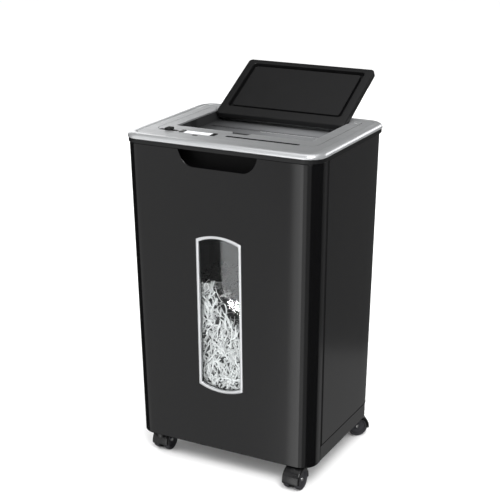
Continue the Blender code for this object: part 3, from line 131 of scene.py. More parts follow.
# ------------------------------------------------------------------ materials
def fresh_material(name):
    """A new node material: its tree, its shader and a plain object-coordinate socket."""
    made = bpy.data.materials.new(name)
    made.use_nodes = True
    tree = made.node_tree
    shader = tree.nodes["Principled BSDF"]
    place = tree.nodes.new("ShaderNodeTexCoord").outputs["Object"]
    return made, tree, shader, place


def set_inputs(tree, node, inputs):
    """Set a node's inputs, or link them where a socket is given."""
    for key, value in inputs.items():
        if isinstance(value, bpy.types.NodeSocket):
            tree.links.new(value, node.inputs[key])
        else:
            node.inputs[key].default_value = value


def add_node(tree, kind, inputs):
    node = tree.nodes.new("ShaderNode" + kind)
    set_inputs(tree, node, inputs)
    return node


def stretched(tree, place, scale):
    return add_node(tree, "Mapping", {"Scale": scale, "Vector": place}).outputs["Vector"]


def noise(tree, vector, scale, detail=3.0, roughness=0.5):
    return add_node(tree, "TexNoise", {"Scale": scale, "Detail": detail,
                                       "Roughness": roughness, "Vector": vector}).outputs["Fac"]


def span(tree, fac, low, high, start=0.25, end=0.75):
    """A value from low to high as fac goes from start to end."""
    return add_node(tree, "MapRange", {"From Min": start, "From Max": end, "To Min": low,
                                       "To Max": high, "Value": fac}).outputs["Result"]


def tones(tree, fac, tint, low, high, start=0.3, end=0.7):
    """The tint from low to high times itself as fac goes from start to end."""
    ramp = add_node(tree, "ValToRGB", {"Fac": fac})
    for stop, position, factor in zip(ramp.color_ramp.elements, (start, end), (low, high)):
        stop.position = position
        stop.color = (*(min(c * factor, 1.0) for c in tint), 1.0)
    return ramp.outputs["Color"]


def bump(tree, shader, height, distance, strength=1.0, after=None):
    node = add_node(tree, "Bump", {"Distance": distance, "Strength": strength,
                                   "Height": height})
    if after is not None:
        tree.links.new(after, node.inputs["Normal"])
    tree.links.new(node.outputs["Normal"], shader.inputs["Normal"])
    return node.outputs["Normal"]


def math_node(tree, operation, *values):
    node = add_node(tree, "Math", dict(enumerate(values)))
    node.operation = operation
    return node.outputs["Value"]


def satin_paint(name, tint):
    """Powder-painted sheet: dark satin with a faint orange peel and slow tone drift."""
    made, tree, shader, place = fresh_material(name)
    drift = noise(tree, stretched(tree, place, (3.0, 3.0, 1.5)), 1.0, 2.0)
    fine = noise(tree, place, 1400.0, 2.0)
    set_inputs(tree, shader, {"Specular IOR Level": 0.42,
                              "Base Color": tones(tree, drift, tint, 0.90, 1.12),
                              "Roughness": span(tree, fine, 0.12, 0.15)})
    peel = noise(tree, place, 420.0, 1.0)
    bump(tree, shader, fine, 0.00001, 0.25, bump(tree, shader, peel, 0.00002, 0.2))
    return made


def moulded(name, tint, roughness, sheen_level=0.5, depth=0.00004):
    """Moulded plastic: a fine spark-eroded grain that breaks up the sheen."""
    made, tree, shader, place = fresh_material(name)
    grain = noise(tree, place, 1.0 / sizes().grain, 4.0, 0.65)
    wear = noise(tree, place, 38.0, 3.0)
    set_inputs(tree, shader, {"Specular IOR Level": sheen_level,
                              "Base Color": tones(tree, wear, tint, 0.92, 1.12),
                              "Roughness": span(tree, wear, roughness - 0.04,
                                                roughness + 0.05)})
    bump(tree, shader, grain, depth, 0.6)
    return made


def tray_painted_shade_moulding(name, tint):
    """Grey moulding with painted shade: it deepens to black at its left end, along a painted
    shadow band where the sheets stop and in the finger notch, where the recess lies in shade."""
    made, tree, shader, place = fresh_material(name)
    split = add_node(tree, "SeparateXYZ", {"Vector": place})
    across, along = split.outputs["X"], split.outputs["Y"]
    # painted shadow: band is the distance from a shadow line painted along the tray's front edge
    band = math_node(tree, "ABSOLUTE", math_node(tree, "SUBTRACT", along, 0.0055))
    # painted shade: darker towards the left end of the tray, where the recess is in shade
    shade = math_node(tree, "MULTIPLY", span(tree, across, 0.0, 1.0, -0.135, 0.025),
                      span(tree, band, 0.0, 1.0, 0.0075, 0.0135))
    # painted shade: the finger notch, in front of y -0.047, is darkened as well
    shade = math_node(tree, "MULTIPLY", shade,
                      span(tree, along, 0.0, 1.0, -0.0495, -0.0470))
    grain = noise(tree, place, 1.0 / sizes().grain, 4.0, 0.65)
    set_inputs(tree, shader, {"Specular IOR Level": 0.35, "Roughness": 0.34,
                              "Base Color": tones(tree, shade, tint, 0.10, 1.45, 0.0, 1.0)})
    bump(tree, shader, grain, 0.00004, 0.6)
    return made


def silver_paint(name, tint, roughness=0.30):
    """Silver paint: small flakes that vary in tone, over a smooth moulding."""
    made, tree, shader, place = fresh_material(name)
    flake = add_node(tree, "TexVoronoi", {"Scale": 2600.0, "Vector": place}).outputs["Distance"]
    cloud = noise(tree, place, 25.0, 3.0)
    set_inputs(tree, shader, {"Metallic": 0.72,
                              "Base Color": tones(tree, flake, tint, 0.94, 1.08, 0.1, 0.8),
                              "Roughness": span(tree, cloud, roughness - 0.03,
                                                roughness + 0.04)})
    bump(tree, shader, flake, 0.000008, 0.5)
    return made


def brushed_deck(name, tint):
    """Silver plate with fine lines from side to side."""
    made, tree, shader, place = fresh_material(name)
    lines = noise(tree, stretched(tree, place, (6.0, 1500.0, 6.0)), 1.0, 4.0, 0.6)
    broad = noise(tree, stretched(tree, place, (2.0, 260.0, 2.0)), 1.0, 3.0)
    set_inputs(tree, shader, {"Metallic": 0.78, "Anisotropic": 0.35,
                              "Base Color": tones(tree, lines, tint, 0.80, 1.10, 0.25, 0.75),
                              "Roughness": span(tree, broad, 0.34, 0.46)})
    bump(tree, shader, lines, 0.000015, 0.5)
    return made


def machined_steel(name, tint=(0.46, 0.465, 0.47)):
    """Turned and pressed steel with a light tool mark."""
    made, tree, shader, place = fresh_material(name)
    marks = noise(tree, stretched(tree, place, (900.0, 60.0, 60.0)), 1.0, 3.0)
    oil = noise(tree, place, 55.0, 4.0)
    set_inputs(tree, shader, {"Metallic": 1.0, "Base Color": tones(tree, oil, tint, 0.82, 1.08),
                              "Roughness": span(tree, marks, 0.26, 0.44)})
    bump(tree, shader, marks, 0.00002, 0.3)
    return made


def worn_rubber(name):
    """Matt black rubber, dusty where it rolls."""
    made, tree, shader, place = fresh_material(name)
    dust = noise(tree, place, 210.0, 5.0, 0.7)
    tint = (0.016, 0.016, 0.017)
    set_inputs(tree, shader, {"Specular IOR Level": 0.3,
                              "Base Color": tones(tree, dust, tint, 0.8, 1.9, 0.35, 0.8),
                              "Roughness": span(tree, dust, 0.62, 0.82)})
    bump(tree, shader, dust, 0.00008, 0.4)
    return made


def circuit_laminate(name):
    """Green laminate with copper tracks seen through the mask."""
    made, tree, shader, place = fresh_material(name)
    track = add_node(tree, "TexBrick", {
        "Scale": 260.0, "Color1": (0.008, 0.075, 0.032, 1.0),
        "Color2": (0.012, 0.095, 0.042, 1.0), "Mortar": (0.03, 0.16, 0.07, 1.0),
        "Vector": place})
    set_inputs(tree, shader, {"Base Color": track.outputs["Color"],
                              "Roughness": span(tree, noise(tree, place, 90.0), 0.25, 0.4)})
    return made


def frosted_lens(name, tint):
    """Frosted light bar: milky, with a soft inner mottle."""
    made, tree, shader, place = fresh_material(name)
    milk = noise(tree, place, 320.0, 3.0)
    set_inputs(tree, shader, {"Subsurface Weight": 0.35, "Subsurface Scale": 1.0,
                              "Subsurface Radius": (0.004, 0.004, 0.004),
                              "Base Color": tones(tree, milk, tint, 0.95, 1.05),
                              "Roughness": span(tree, milk, 0.18, 0.28)})
    return made


def clear_window(name, tint):
    """Thin clear plastic, slightly tinted, under a gloss that grows at a glancing angle."""
    made, tree, _, place = fresh_material(name)
    haze = span(tree, noise(tree, place, 60.0, 2.0), 0.02, 0.04)
    gloss = add_node(tree, "BsdfGlossy", {"Color": (0.95, 0.96, 0.97, 1.0), "Roughness": haze})
    clear = add_node(tree, "BsdfTransparent", {"Color": (*tint, 1.0)})
    edge = add_node(tree, "Fresnel", {"IOR": 1.20})
    mix = add_node(tree, "MixShader", {"Fac": edge.outputs["Fac"], 1: clear.outputs["BSDF"],
                                       2: gloss.outputs["BSDF"]})
    tree.links.new(mix.outputs["Shader"], tree.nodes["Material Output"].inputs["Surface"])
    return made


def shred_paper(name, tint):
    """Office paper, each shred a little lighter or darker than the next by its own attribute,
    which also carries painted shade: the paper runs down to near black where it lies deep in the
    bin.
    """
    made, tree, shader, place = fresh_material(name)
    tone = tree.nodes.new("ShaderNodeAttribute")
    tone.attribute_name = "tone"
    fibre = noise(tree, place, 900.0, 3.0)
    set_inputs(tree, shader, {"Specular IOR Level": 0.25,
                              "Base Color": tones(tree, tone.outputs["Fac"], tint, 0.02, 1.12,
                                                  0.0, 0.85),
                              "Roughness": span(tree, fibre, 0.7, 0.9)})
    bump(tree, shader, fibre, 0.00003, 0.4)
    return made


def look(name):
    """The named finish, made once."""
    found = bpy.data.materials.get(name)
    if found:
        return found
    c = colours()
    makers = {
        "charcoal_paint": lambda: satin_paint(name, c.charcoal),
        "black_moulding": lambda: moulded(name, c.black, 0.42, 0.30),
        # matt near-black: real dark joint lines, and painted shade in the handle pocket, round the
        # card slot and along the drawer seam
        "black_joint_and_painted_shade": lambda: moulded(name, (0.004, 0.004, 0.0042), 0.6, 0.12),
        "black_gloss": lambda: moulded(name, c.black, 0.25, 0.5, 0.00001),
        "grey_moulding": lambda: moulded(name, c.grey, 0.36, 0.6),
        "tray_painted_shade_moulding": lambda: tray_painted_shade_moulding(name, c.grey),
        "tub_moulding": lambda: moulded(name, (0.020, 0.020, 0.021), 0.5, 0.35),
        "silver_paint": lambda: silver_paint(name, c.silver),
        "brushed_deck": lambda: brushed_deck(name, c.silver),
        "frosted_lens": lambda: frosted_lens(name, c.lens),
        "clear_window": lambda: clear_window(name, c.smoke),
        "machined_steel": lambda: machined_steel(name),
        "bright_steel": lambda: machined_steel(name, (0.78, 0.78, 0.77)),
        "rubber": lambda: worn_rubber(name),
        "nylon": lambda: moulded(name, (0.50, 0.48, 0.42), 0.42),
        "laminate": lambda: circuit_laminate(name),
        "paper": lambda: shred_paper(name, c.paper),
    }
    return makers[name]()


# ------------------------------------------------------------------ surfaces
def outline(rect, radius, steps=9):
    """Rounded rectangle, anticlockwise: each corner's centre plus the radius times the cosine
    and sine of an angle that runs through that corner's quarter turn."""
    x0, x1, y0, y1 = rect
    start = np.radians([-90.0, 0.0, 90.0, 180.0])[:, None]
    turn = start + np.linspace(0.0, math.pi / 2, steps)
    cx = np.array([x1 - radius, x1 - radius, x0 + radius, x0 + radius])[:, None]
    cy = np.array([y0 + radius, y1 - radius, y1 - radius, y0 + radius])[:, None]
    return np.stack([(cx + radius * np.cos(turn)).ravel(),
                     (cy + radius * np.sin(turn)).ravel()], axis=1)


def inset(rect, by):
    x0, x1, y0, y1 = rect
    return (x0 + by, x1 - by, y0 + by, y1 - by)


def loft(levels, steps=9):
    """Rows of rounded rectangles, one for each (rectangle, corner radius, height)."""
    rows = [np.column_stack([outline(rect, max(radius, 0.0001), steps),
                             np.full(4 * steps, height)]) for rect, radius, height in levels]
    return np.stack(rows)


def round_over(rect, radius, low, high, fillet, count=5):
    """Levels of a block's side from low to high whose top edge is a quarter circle: inset
    fillet * (1 - cos t) and height high - fillet * (1 - sin t), with t from 0 to a right angle."""
    t = np.linspace(0.0, math.pi / 2, count)
    levels = [(rect, radius, low)]
    levels += [(inset(rect, fillet * (1 - math.cos(a))), radius - fillet * (1 - math.cos(a)),
                high - fillet * (1 - math.sin(a))) for a in t]
    return levels


def turned(profile, steps, start=0.0, sweep=2 * math.pi):
    """Surface of revolution about X: each (radius, distance along X) of the profile is carried
    through the sweep, as (distance, radius * cos a, radius * sin a)."""
    radius, along = np.array(profile, float).T
    closed = abs(sweep - 2 * math.pi) < 1e-9
    angle = start + np.linspace(0.0, sweep, steps, endpoint=not closed)
    return np.stack([np.broadcast_to(along, (steps, len(along))),
                     np.outer(np.cos(angle), radius), np.outer(np.sin(angle), radius)], axis=2)


def patch(grid, wrap_rows=False, wrap_columns=False, cap_first=False, cap_last=False):
    """A grid of points with how its edges join."""
    return (np.asarray(grid, float), wrap_rows, wrap_columns, cap_first, cap_last)


def quads(rows, columns, wrap_rows, wrap_columns):
    r = np.arange(rows if wrap_rows else rows - 1)[:, None]
    c = np.arange(columns if wrap_columns else columns - 1)[None, :]
    r2, c2 = (r + 1) % rows, (c + 1) % columns
    corners = [r * columns + c, r * columns + c2, r2 * columns + c2, r2 * columns + c]
    return np.stack([k.ravel() for k in corners], axis=1)


def surface(name, patches, finish, body, stands_for=(), thickness=0.0,
            edge=0.0, angle=35.0, turn_out=True):
    """One piece from grids: points and faces are joined, doubles merged, faces turned outwards,
    then a wall thickness and an edge rounding are added where they are given."""
    points, faces, base = [], [], 0
    for grid, wrap_rows, wrap_columns, cap_first, cap_last in patches:
        rows, columns = grid.shape[:2]
        points.append(grid.reshape(-1, 3))
        faces += (quads(rows, columns, wrap_rows, wrap_columns) + base).tolist()
        if cap_first:
            faces.append(list(range(base + columns - 1, base - 1, -1)))
        if cap_last:
            faces.append(list(range(base + (rows - 1) * columns, base + rows * columns)))
        base += rows * columns
    mesh = bpy.data.meshes.new(name)
    mesh.from_pydata(np.concatenate(points).tolist(), [], faces)
    obj = bpy.data.objects.new(name, mesh)
    bpy.context.scene.collection.objects.link(obj)
    tidy(mesh, turn_out)
    mesh.materials.append(look(finish))
    mesh.shade_smooth()
    mesh.set_sharp_from_angle(angle=math.radians(angle))
    if thickness:
        wall = obj.modifiers.new("wall", "SOLIDIFY")
        wall.thickness = thickness
        wall.offset = -1.0
        wall.use_even_offset = True
    if edge:
        rounding = obj.modifiers.new("edge", "BEVEL")
        rounding.width = edge
        rounding.segments = 3
        rounding.limit_method = "ANGLE"
        rounding.angle_limit = math.radians(40.0)
        rounding.harden_normals = True
    if stands_for:
        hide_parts(*stands_for)
    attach(obj, body)
    return obj


def tidy(mesh, turn_out):
    bm = bmesh.new()
    bm.from_mesh(mesh)
    bmesh.ops.remove_doubles(bm, verts=bm.verts, dist=0.000004)
    bmesh.ops.dissolve_degenerate(bm, dist=0.000002, edges=bm.edges)
    if turn_out:
        bmesh.ops.recalc_face_normals(bm, faces=bm.faces)
    bm.to_mesh(mesh)
    bm.free()


def cabinet_rect(height):
    """The tapered cabinet's rectangle at a height: each side leans in evenly towards the floor."""
    down = (CAB_TOP - height) / (CAB_TOP - CAB_BOTTOM)
    half = CAB_HALF_TOP - SIDE_TAPER * down
    front = CAB_FRONT_TOP + FRONT_TAPER * down
    rear = HEAD_HALF_D - REAR_INSET - REAR_TAPER * down
    return half, front, rear


def closed_strip(grid):
    """A strip whose section is a closed ring, with both of its ends filled."""
    return patch(grid, wrap_columns=True, cap_first=True, cap_last=True)


def window_edge(grow, across=None, up=None):
    """Window outline in X and height, grown outwards: straight sides, and a low circular arc
    across the top and the bottom."""
    half = WINDOW_HALF
    radius = (half ** 2 + WINDOW_RISE ** 2) / (2 * WINDOW_RISE)
    share = np.linspace(-1.0, 1.0, 21) if across is None else across
    rise = np.sqrt(radius ** 2 - (share * half) ** 2) - (radius - WINDOW_RISE)
    height = np.linspace(0.0, 1.0, 25) if up is None else up
    bottom = np.column_stack([share * half, WINDOW_LOW - rise])
    top = np.column_stack([share[::-1] * half, WINDOW_HIGH + rise[::-1]])
    sides = WINDOW_LOW + (WINDOW_HIGH - WINDOW_LOW) * height[1:-1]
    right = np.column_stack([np.full(len(sides), half), sides])
    left = np.column_stack([np.full(len(sides), -half), sides[::-1]])
    ring = np.concatenate([bottom, right, top, left])
    middle = (WINDOW_LOW + WINDOW_HIGH) / 2
    tall = WINDOW_HIGH + WINDOW_RISE - middle
    return np.column_stack([ring[:, 0] * (half + grow) / half,
                            middle + (ring[:, 1] - middle) * (tall + grow) / tall])


def on_front(flat, depth):
    """Points (x, height) set on the leaning front, depth behind it."""
    front = cabinet_rect(flat[:, 1])[1]
    return np.column_stack([flat[:, 0], front + depth, flat[:, 1]])


# ------------------------------------------------------------------ drawer
def wrap_columns(height, side, near):
    """The drawer front's path from its seam round one corner to x = side * near, at each height:
    a straight return, a quarter circle, then the flat."""
    half, front, _ = cabinet_rect(height)
    lead = np.linspace(SEAM_BACK, CORNER_R, 4)
    turn = np.linspace(0.0, math.pi / 2, 15)
    flat = np.linspace(0.0, 1.0, 4)[1:]
    x = np.concatenate([
        np.repeat(half[:, None], 4, axis=1),
        half[:, None] - CORNER_R + CORNER_R * np.cos(turn[1:]),
        (half[:, None] - CORNER_R) * (1 - flat) + near * flat], axis=1)
    y = np.concatenate([
        front[:, None] + lead,
        front[:, None] + CORNER_R - CORNER_R * np.sin(turn[1:]),
        np.repeat(front[:, None], 3, axis=1)], axis=1)
    z = np.repeat(height[:, None], x.shape[1], axis=1)
    return np.stack([side * x, y, z], axis=2)


def cutout_top(count=13):
    """The panel's top edge across the handle cutout: level floor, then flanks that rise as the
    1.6th power of their share and bow out by a half sine."""
    share = np.linspace(0.0, 1.0, count)
    x = (CUTOUT_FLOOR_HALF + (CUTOUT_HALF - CUTOUT_FLOOR_HALF) * share
         + 0.0035 * np.sin(math.pi * share))
    z = CAB_TOP - CUTOUT_H + CUTOUT_H * share ** 1.6
    floor = np.linspace(0.0, CUTOUT_FLOOR_HALF, 7)[:-1]
    x = np.concatenate([floor, x])
    z = np.concatenate([np.full(6, CAB_TOP - CUTOUT_H), z])
    return np.concatenate([-x[:0:-1], x]), np.concatenate([z[:0:-1], z])


class SHREDDER_OT_drawer_front(bpy.types.Operator):
    """Build the painted drawer front with its window opening and handle cutout"""
    bl_idname = "shredder.drawer_front"
    bl_label = "Drawer front"

    def execute(self, context):
        across, top = cutout_top()
        near = 0.078
        xs = np.concatenate([[-near], across, [near]])
        tops = np.concatenate([[CAB_TOP], top, [CAB_TOP]])
        low_z, high_z = WINDOW_LOW - 0.022, WINDOW_HIGH + 0.022
        below = np.linspace(CAB_BOTTOM, low_z, 6)
        beside = np.linspace(low_z, high_z, 23)
        rows = np.concatenate([below, beside[1:], np.linspace(high_z, CAB_TOP, 7)[1:]])
        patches = [patch(wrap_columns(rows, side, near)) for side in (-1, 1)]
        bottom = np.stack([on_front(np.column_stack([xs, np.full(len(xs), z)]), 0.0)
                           for z in below])
        patches.append(patch(bottom))
        share = np.linspace(0.0, 1.0, 7)
        upper = np.stack([on_front(np.column_stack([xs, high_z + (tops - high_z) * s]), 0.0)
                          for s in share])
        patches.append(patch(upper))
        side_z = beside[1:-1]
        box = np.concatenate([
            np.column_stack([xs, np.full(len(xs), low_z)]),
            np.column_stack([np.full(len(side_z), near), side_z]),
            np.column_stack([xs[::-1], np.full(len(xs), high_z)]),
            np.column_stack([np.full(len(side_z), -near), side_z[::-1]])])
        hole = window_edge(-0.0024, xs / near, (beside - low_z) / (high_z - low_z))
        ring = np.stack([on_front(hole + (box - hole) * s, 0.0) for s in (0.0, 0.3, 0.65, 1.0)])
        patches.append(patch(ring, wrap_columns=True))
        surface("drawer_front_panel", patches, "charcoal_paint", "drawer",
                ("drawer_front",), PANEL_T, sizes().edge_radius, angle=50.0)
        return {"FINISHED"}


class SHREDDER_OT_window(bpy.types.Operator):
    """Build the silver window surround and the clear pane behind it"""
    bl_idname = "shredder.window"
    bl_label = "Window"

    def execute(self, context):
        profile = [(0.0, -0.0003), (0.0, -0.0009), (-0.0003, -0.0013), (-0.0008, -0.0015),
                   (-0.0036, -0.0015), (-0.0042, -0.0013), (-0.0046, -0.0008),
                   (-0.0047, 0.0), (-0.0047, 0.0024), (-0.0028, 0.0024), (-0.0028, -0.0003)]
        ring = np.stack([on_front(window_edge(grow), depth) for grow, depth in profile])
        surface("window_surround", [patch(ring, wrap_rows=True, wrap_columns=True)],
                "silver_paint", "drawer", ("window_frame",), angle=40.0)
        pane = np.stack([on_front(window_edge(grow), depth) for grow, depth in
                         ((-0.0052, 0.0002), (-0.0050, 0.0004), (-0.0050, 0.0013),
                          (-0.0052, 0.0015))])
        surface("window_clear", [closed_strip(pane)], "clear_window", "drawer",
                ("window_pane",), angle=30.0)
        return {"FINISHED"}


HEAP_SPREAD = 0.009          # furthest that a shred stands above the heap
SHRED_ROWS = 7               # points along one shred, each row two points wide
TOP_SHREDS, FRONT_SHREDS = 1500, 1500


def heap_height(x, y):
    """Top of the shred heap: a plane that falls to the right, a bell-shaped mound behind the
    window's left side, and two broad sine ripples."""
    mound = np.exp(-((x + 0.026) / 0.030) ** 2 - ((y + 0.120) / 0.075) ** 2)
    return (0.266 - 0.16 * x + 0.052 * mound
            + 0.006 * np.sin(38.0 * x + 1.1) * np.cos(29.0 * y)
            + 0.005 * np.cos(21.0 * x - 17.0 * y))


def shred_grid(rng, centres, normals, width, long):
    """Curled strips: along its length each is an arc of its own radius, turned about its
    centre into a random direction close to the surface that it lies on."""
    count = len(centres)
    u = np.linspace(-0.5, 0.5, SHRED_ROWS)[None, :, None]
    v = np.array([-0.5, 0.5])[None, None, :]
    size = long * rng.uniform(0.45, 1.15, count)[:, None, None]
    bend = rng.uniform(-2.6, 2.6, count)[:, None, None]
    twist = rng.uniform(-1.3, 1.3, count)[:, None, None]
    divisor = np.where(np.abs(bend) < 0.05, 0.05, bend)
    along = size * np.sin(bend * u) / divisor
    lift = size * (1 - np.cos(bend * u)) / divisor
    aside = width * v * np.cos(twist * u)
    lift = lift + width * v * np.sin(twist * u)
    spin = rng.uniform(0.0, 2 * math.pi, count)
    tilt = normals + rng.normal(0.0, 0.38, (count, 3))
    tilt /= np.linalg.norm(tilt, axis=1)[:, None]
    helper = np.stack([np.cos(spin), np.sin(spin), rng.uniform(-0.6, 0.6, count)], axis=1)
    first = np.cross(tilt, helper)
    first /= np.linalg.norm(first, axis=1)[:, None]
    second = np.cross(tilt, first)
    local = np.stack(np.broadcast_arrays(along, aside, lift), axis=-1)
    axes = np.stack([first, second, tilt], axis=1)
    return centres[:, None, None, :] + np.einsum("nuvk,nkj->nuvj", local, axes)


class SHREDDER_OT_shreds(bpy.types.Operator):
    """Fill the bin with a heap of curled paper shreds"""
    bl_idname = "shredder.shreds"
    bl_label = "Paper shreds"

    def execute(self, context):
        rng = np.random.default_rng(11)
        x0, x1 = TUB_LOW.x + 0.014, TUB_HIGH.x - 0.014
        y1 = TUB_HIGH.y - 0.012
        floor = TUB_LOW.z + 0.008

        def front_at(height):
            return cabinet_rect(height)[1] + PANEL_T + 0.0045

        gx, gy = np.meshgrid(np.linspace(x0 + 0.004, x1 - 0.004, 40), np.linspace(0, 1, 28))
        front = cabinet_rect(np.full(gx.shape, 0.25))[1] + PANEL_T + 0.013
        yy = front + (y1 - 0.004 - front) * gy
        top = heap_height(gx, yy) - 0.010 + 0.003 * np.sin(310 * gx) * np.sin(270 * yy)
        lid = np.stack([gx, yy, top], axis=2)
        side = np.concatenate([lid[0], lid[1:, -1], lid[-1, -2::-1], lid[-2:0:-1, 0]])
        foot = side.copy()
        foot[:, 2] = floor
        walls = np.stack([foot + (side - foot) * s for s in np.linspace(0, 1, 8)])
        surface("shred_heap", [patch(lid), patch(walls, wrap_columns=True, cap_first=True)],
                "paper", "drawer", angle=60.0)
        # painted shade: the heap under the shreds is painted nearly black, standing for the shade
        # inside the bin
        set_tone_and_shade(bpy.data.objects["shred_heap"].data, 0.06)

        n_top, n_front = TOP_SHREDS, FRONT_SHREDS
        cx = rng.uniform(x0 + 0.012, x1 - 0.012, n_top)
        cy = rng.uniform(front_at(0.30) + 0.012, y1 - 0.014, n_top)
        cz = heap_height(cx, cy) + rng.uniform(-0.009, 0.004, n_top)
        upward = np.tile([0.25, 0.0, 1.0], (n_top, 1))
        fx = rng.uniform(-0.062, 0.062, n_front)
        low = WINDOW_LOW - 0.022
        fz = low + (heap_height(fx, -0.1) + 0.004 - low) * rng.uniform(0, 1, n_front)
        fy = front_at(fz) + rng.uniform(0.001, 0.015, n_front)
        forward = np.tile([0.0, -1.0, 0.12], (n_front, 1))
        grid = shred_grid(rng, np.concatenate([np.column_stack([cx, cy, cz]),
                                               np.column_stack([fx, fy, fz])]),
                          np.concatenate([upward, forward]),
                          sizes().shred_width, sizes().shred_length)
        grid[..., 0] = np.clip(grid[..., 0], x0, x1)
        limit = front_at(grid[..., 2])
        grid[..., 1] = np.clip(grid[..., 1], limit + 0.0004, y1)
        grid[..., 2] = np.maximum(grid[..., 2], floor)
        above = grid[..., 2] - heap_height(grid[..., 0], grid[..., 1])
        grid = grid[above.max(axis=(1, 2)) < HEAP_SPREAD]
        count = len(grid)
        faces = quads(SHRED_ROWS, 2, False, False)
        first = np.arange(count) * SHRED_ROWS * 2
        faces = (faces[None] + first[:, None, None]).reshape(-1, 4)
        mesh = bpy.data.meshes.new("paper_shreds")
        mesh.from_pydata(grid.reshape(-1, 3).tolist(), [], faces.tolist())
        obj = bpy.data.objects.new("paper_shreds", mesh)
        bpy.context.scene.collection.objects.link(obj)
        mesh.materials.append(look("paper"))
        mesh.shade_smooth()
        # painted shade: shreds further behind the window are darkened, as the shade deepens into
        # the bin
        depth = (grid[..., 1] - front_at(grid[..., 2])).mean(axis=(1, 2))
        shade = np.clip(1.25 - depth / 0.045, 0.0, 1.0)
        set_tone_and_shade(mesh, np.repeat(rng.uniform(0.55, 1.0, count) * shade, SHRED_ROWS * 2))
        wall = obj.modifiers.new("wall", "SOLIDIFY")
        wall.thickness = 0.00012
        wall.offset = 0.0
        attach(obj, "drawer")
        return {"FINISHED"}


def set_tone_and_shade(mesh, values):
    """Write the paper's tone and painted shade, 0 dark to 1 light, on the mesh's points."""
    attribute = mesh.attributes.new("tone", "FLOAT", "POINT")
    attribute.data.foreach_set("value", np.broadcast_to(values, len(mesh.vertices))
                               .astype(np.float32))


# ------------------------------------------------------------------ cabinet and head
STRIP_OUT = np.array([-0.0008, 0.00015, 0.00015, -0.0008])     # dark strips, past the skin
JOINT_UP = np.array([-0.0006, -0.0006, 0.0012, 0.0012])        # joint line above the base
# SEAM_BACKWARD places the seam's painted shadow strip
SEAM_BACKWARD = np.array([-0.0006, 0.0004, 0.0042, 0.0044])    # seam strip, back from the edge


class SHREDDER_OT_side_panels(bpy.types.Operator):
    """Build the two painted side panels, from the drawer seam round the rear corners"""
    bl_idname = "shredder.side_panels"
    bl_label = "Side panels"

    def execute(self, context):
        rows = np.linspace(SIDE_LOW.z, CAB_TOP, 14)
        half, front, rear = cabinet_rect(rows)
        start = front + SEAM_BACK + SEAM
        end = HEAD_HALF_W - REAR_RETURN
        turn = np.linspace(0.0, math.pi / 2, 13)
        flat = np.linspace(0.0, 1.0, 8)[:-1]
        for side, name in ((-1, "left"), (1, "right")):
            last = np.arccos(np.clip((end - half + CORNER_R) / CORNER_R, 0.0, 1.0))
            bend = last[:, None] * turn / turn[-1]
            round_y = rear[:, None] - CORNER_R + CORNER_R * np.sin(bend)
            x = np.concatenate([np.repeat(half[:, None], 7, axis=1),
                                half[:, None] - CORNER_R + CORNER_R * np.cos(bend),
                                np.full((len(rows), 1), end)], axis=1)
            y = np.concatenate([start[:, None] * (1 - flat) + (rear[:, None] - CORNER_R) * flat,
                                round_y, round_y[:, -1:]], axis=1)
            z = np.repeat(rows[:, None], x.shape[1], axis=1)
            grid = np.stack([side * x, y, z], axis=2)
            surface("side_skin_" + name, [patch(grid)], "charcoal_paint", "cabinet",
                    ("side_panel_" + name,), PANEL_T, sizes().edge_radius, angle=50.0)

            low = SIDE_LOW.z + JOINT_UP
            edge_half, _, edge_rear = cabinet_rect(low)
            path = np.concatenate([np.linspace(-1.0, 0.0, 8)[:-1], turn])
            run = np.where(path < 0.0, 0.0, path)[:, None]
            back = (edge_rear - CORNER_R)[None, :]
            ahead = (start[0] + 0.0004 - back) * np.where(path < 0.0, -path, 0.0)[:, None]
            across = CORNER_R + STRIP_OUT
            line = np.stack([side * (edge_half - CORNER_R + across * np.cos(run)),
                             back + ahead + across * np.sin(run),
                             np.repeat(low[None, :], len(path), axis=0)], axis=2)
            surface("base_joint_" + name, [closed_strip(line)], "black_joint_and_painted_shade", "cabinet",
                    angle=30.0)

            # painted shadow: a dark strip about 5 mm wide, just proud of the skin behind the
            # drawer seam, standing for the shade in the gap there
            strip = np.stack([side * (half[:, None] + STRIP_OUT), start[:, None] + SEAM_BACKWARD,
                              np.repeat(rows[:, None], 4, axis=1)], axis=2)
            surface("side_seam_shadow_" + name, [closed_strip(strip)], "black_joint_and_painted_shade", "cabinet",
                    angle=30.0)
        return {"FINISHED"}


class SHREDDER_OT_rim(bpy.types.Operator):
    """Build the silver rim with its rounded outer edge"""
    bl_idname = "shredder.rim"
    bl_label = "Rim and band"

    def execute(self, context):
        rect = (-HEAD_HALF_W, HEAD_HALF_W, -HEAD_HALF_D, HEAD_HALF_D)
        low, high = RIM_LOW.z, RIM_HIGH.z
        fillet = sizes().rim_round
        inner = inset(rect, RIM_W)
        ledge = inset(rect, RIM_W + RIM_LEDGE)
        inner_r = RIM_R - RIM_W
        levels = [(inset(rect, 0.0006), RIM_R - 0.0006, low)]
        levels += round_over(rect, RIM_R, low + 0.0007, high, fillet, 9)
        levels += [(inset(inner, -0.0010), inner_r + 0.0010, high),
                   (inset(inner, -0.0003), inner_r + 0.0003, high - 0.0003),
                   (inner, inner_r, high - 0.0009),
                   (inner, inner_r, DECK_LOW.z - GAP), (ledge, inner_r, DECK_LOW.z - GAP),
                   (ledge, inner_r, low)]
        surface("rim_moulding", [patch(loft(levels, 14), wrap_rows=True, wrap_columns=True)],
                "silver_paint", "cabinet", ("rim",), angle=40.0)
        return {"FINISHED"}


SLOT_ACROSS, SLOT_HALF = (-0.0115, 0.1145), 0.00230


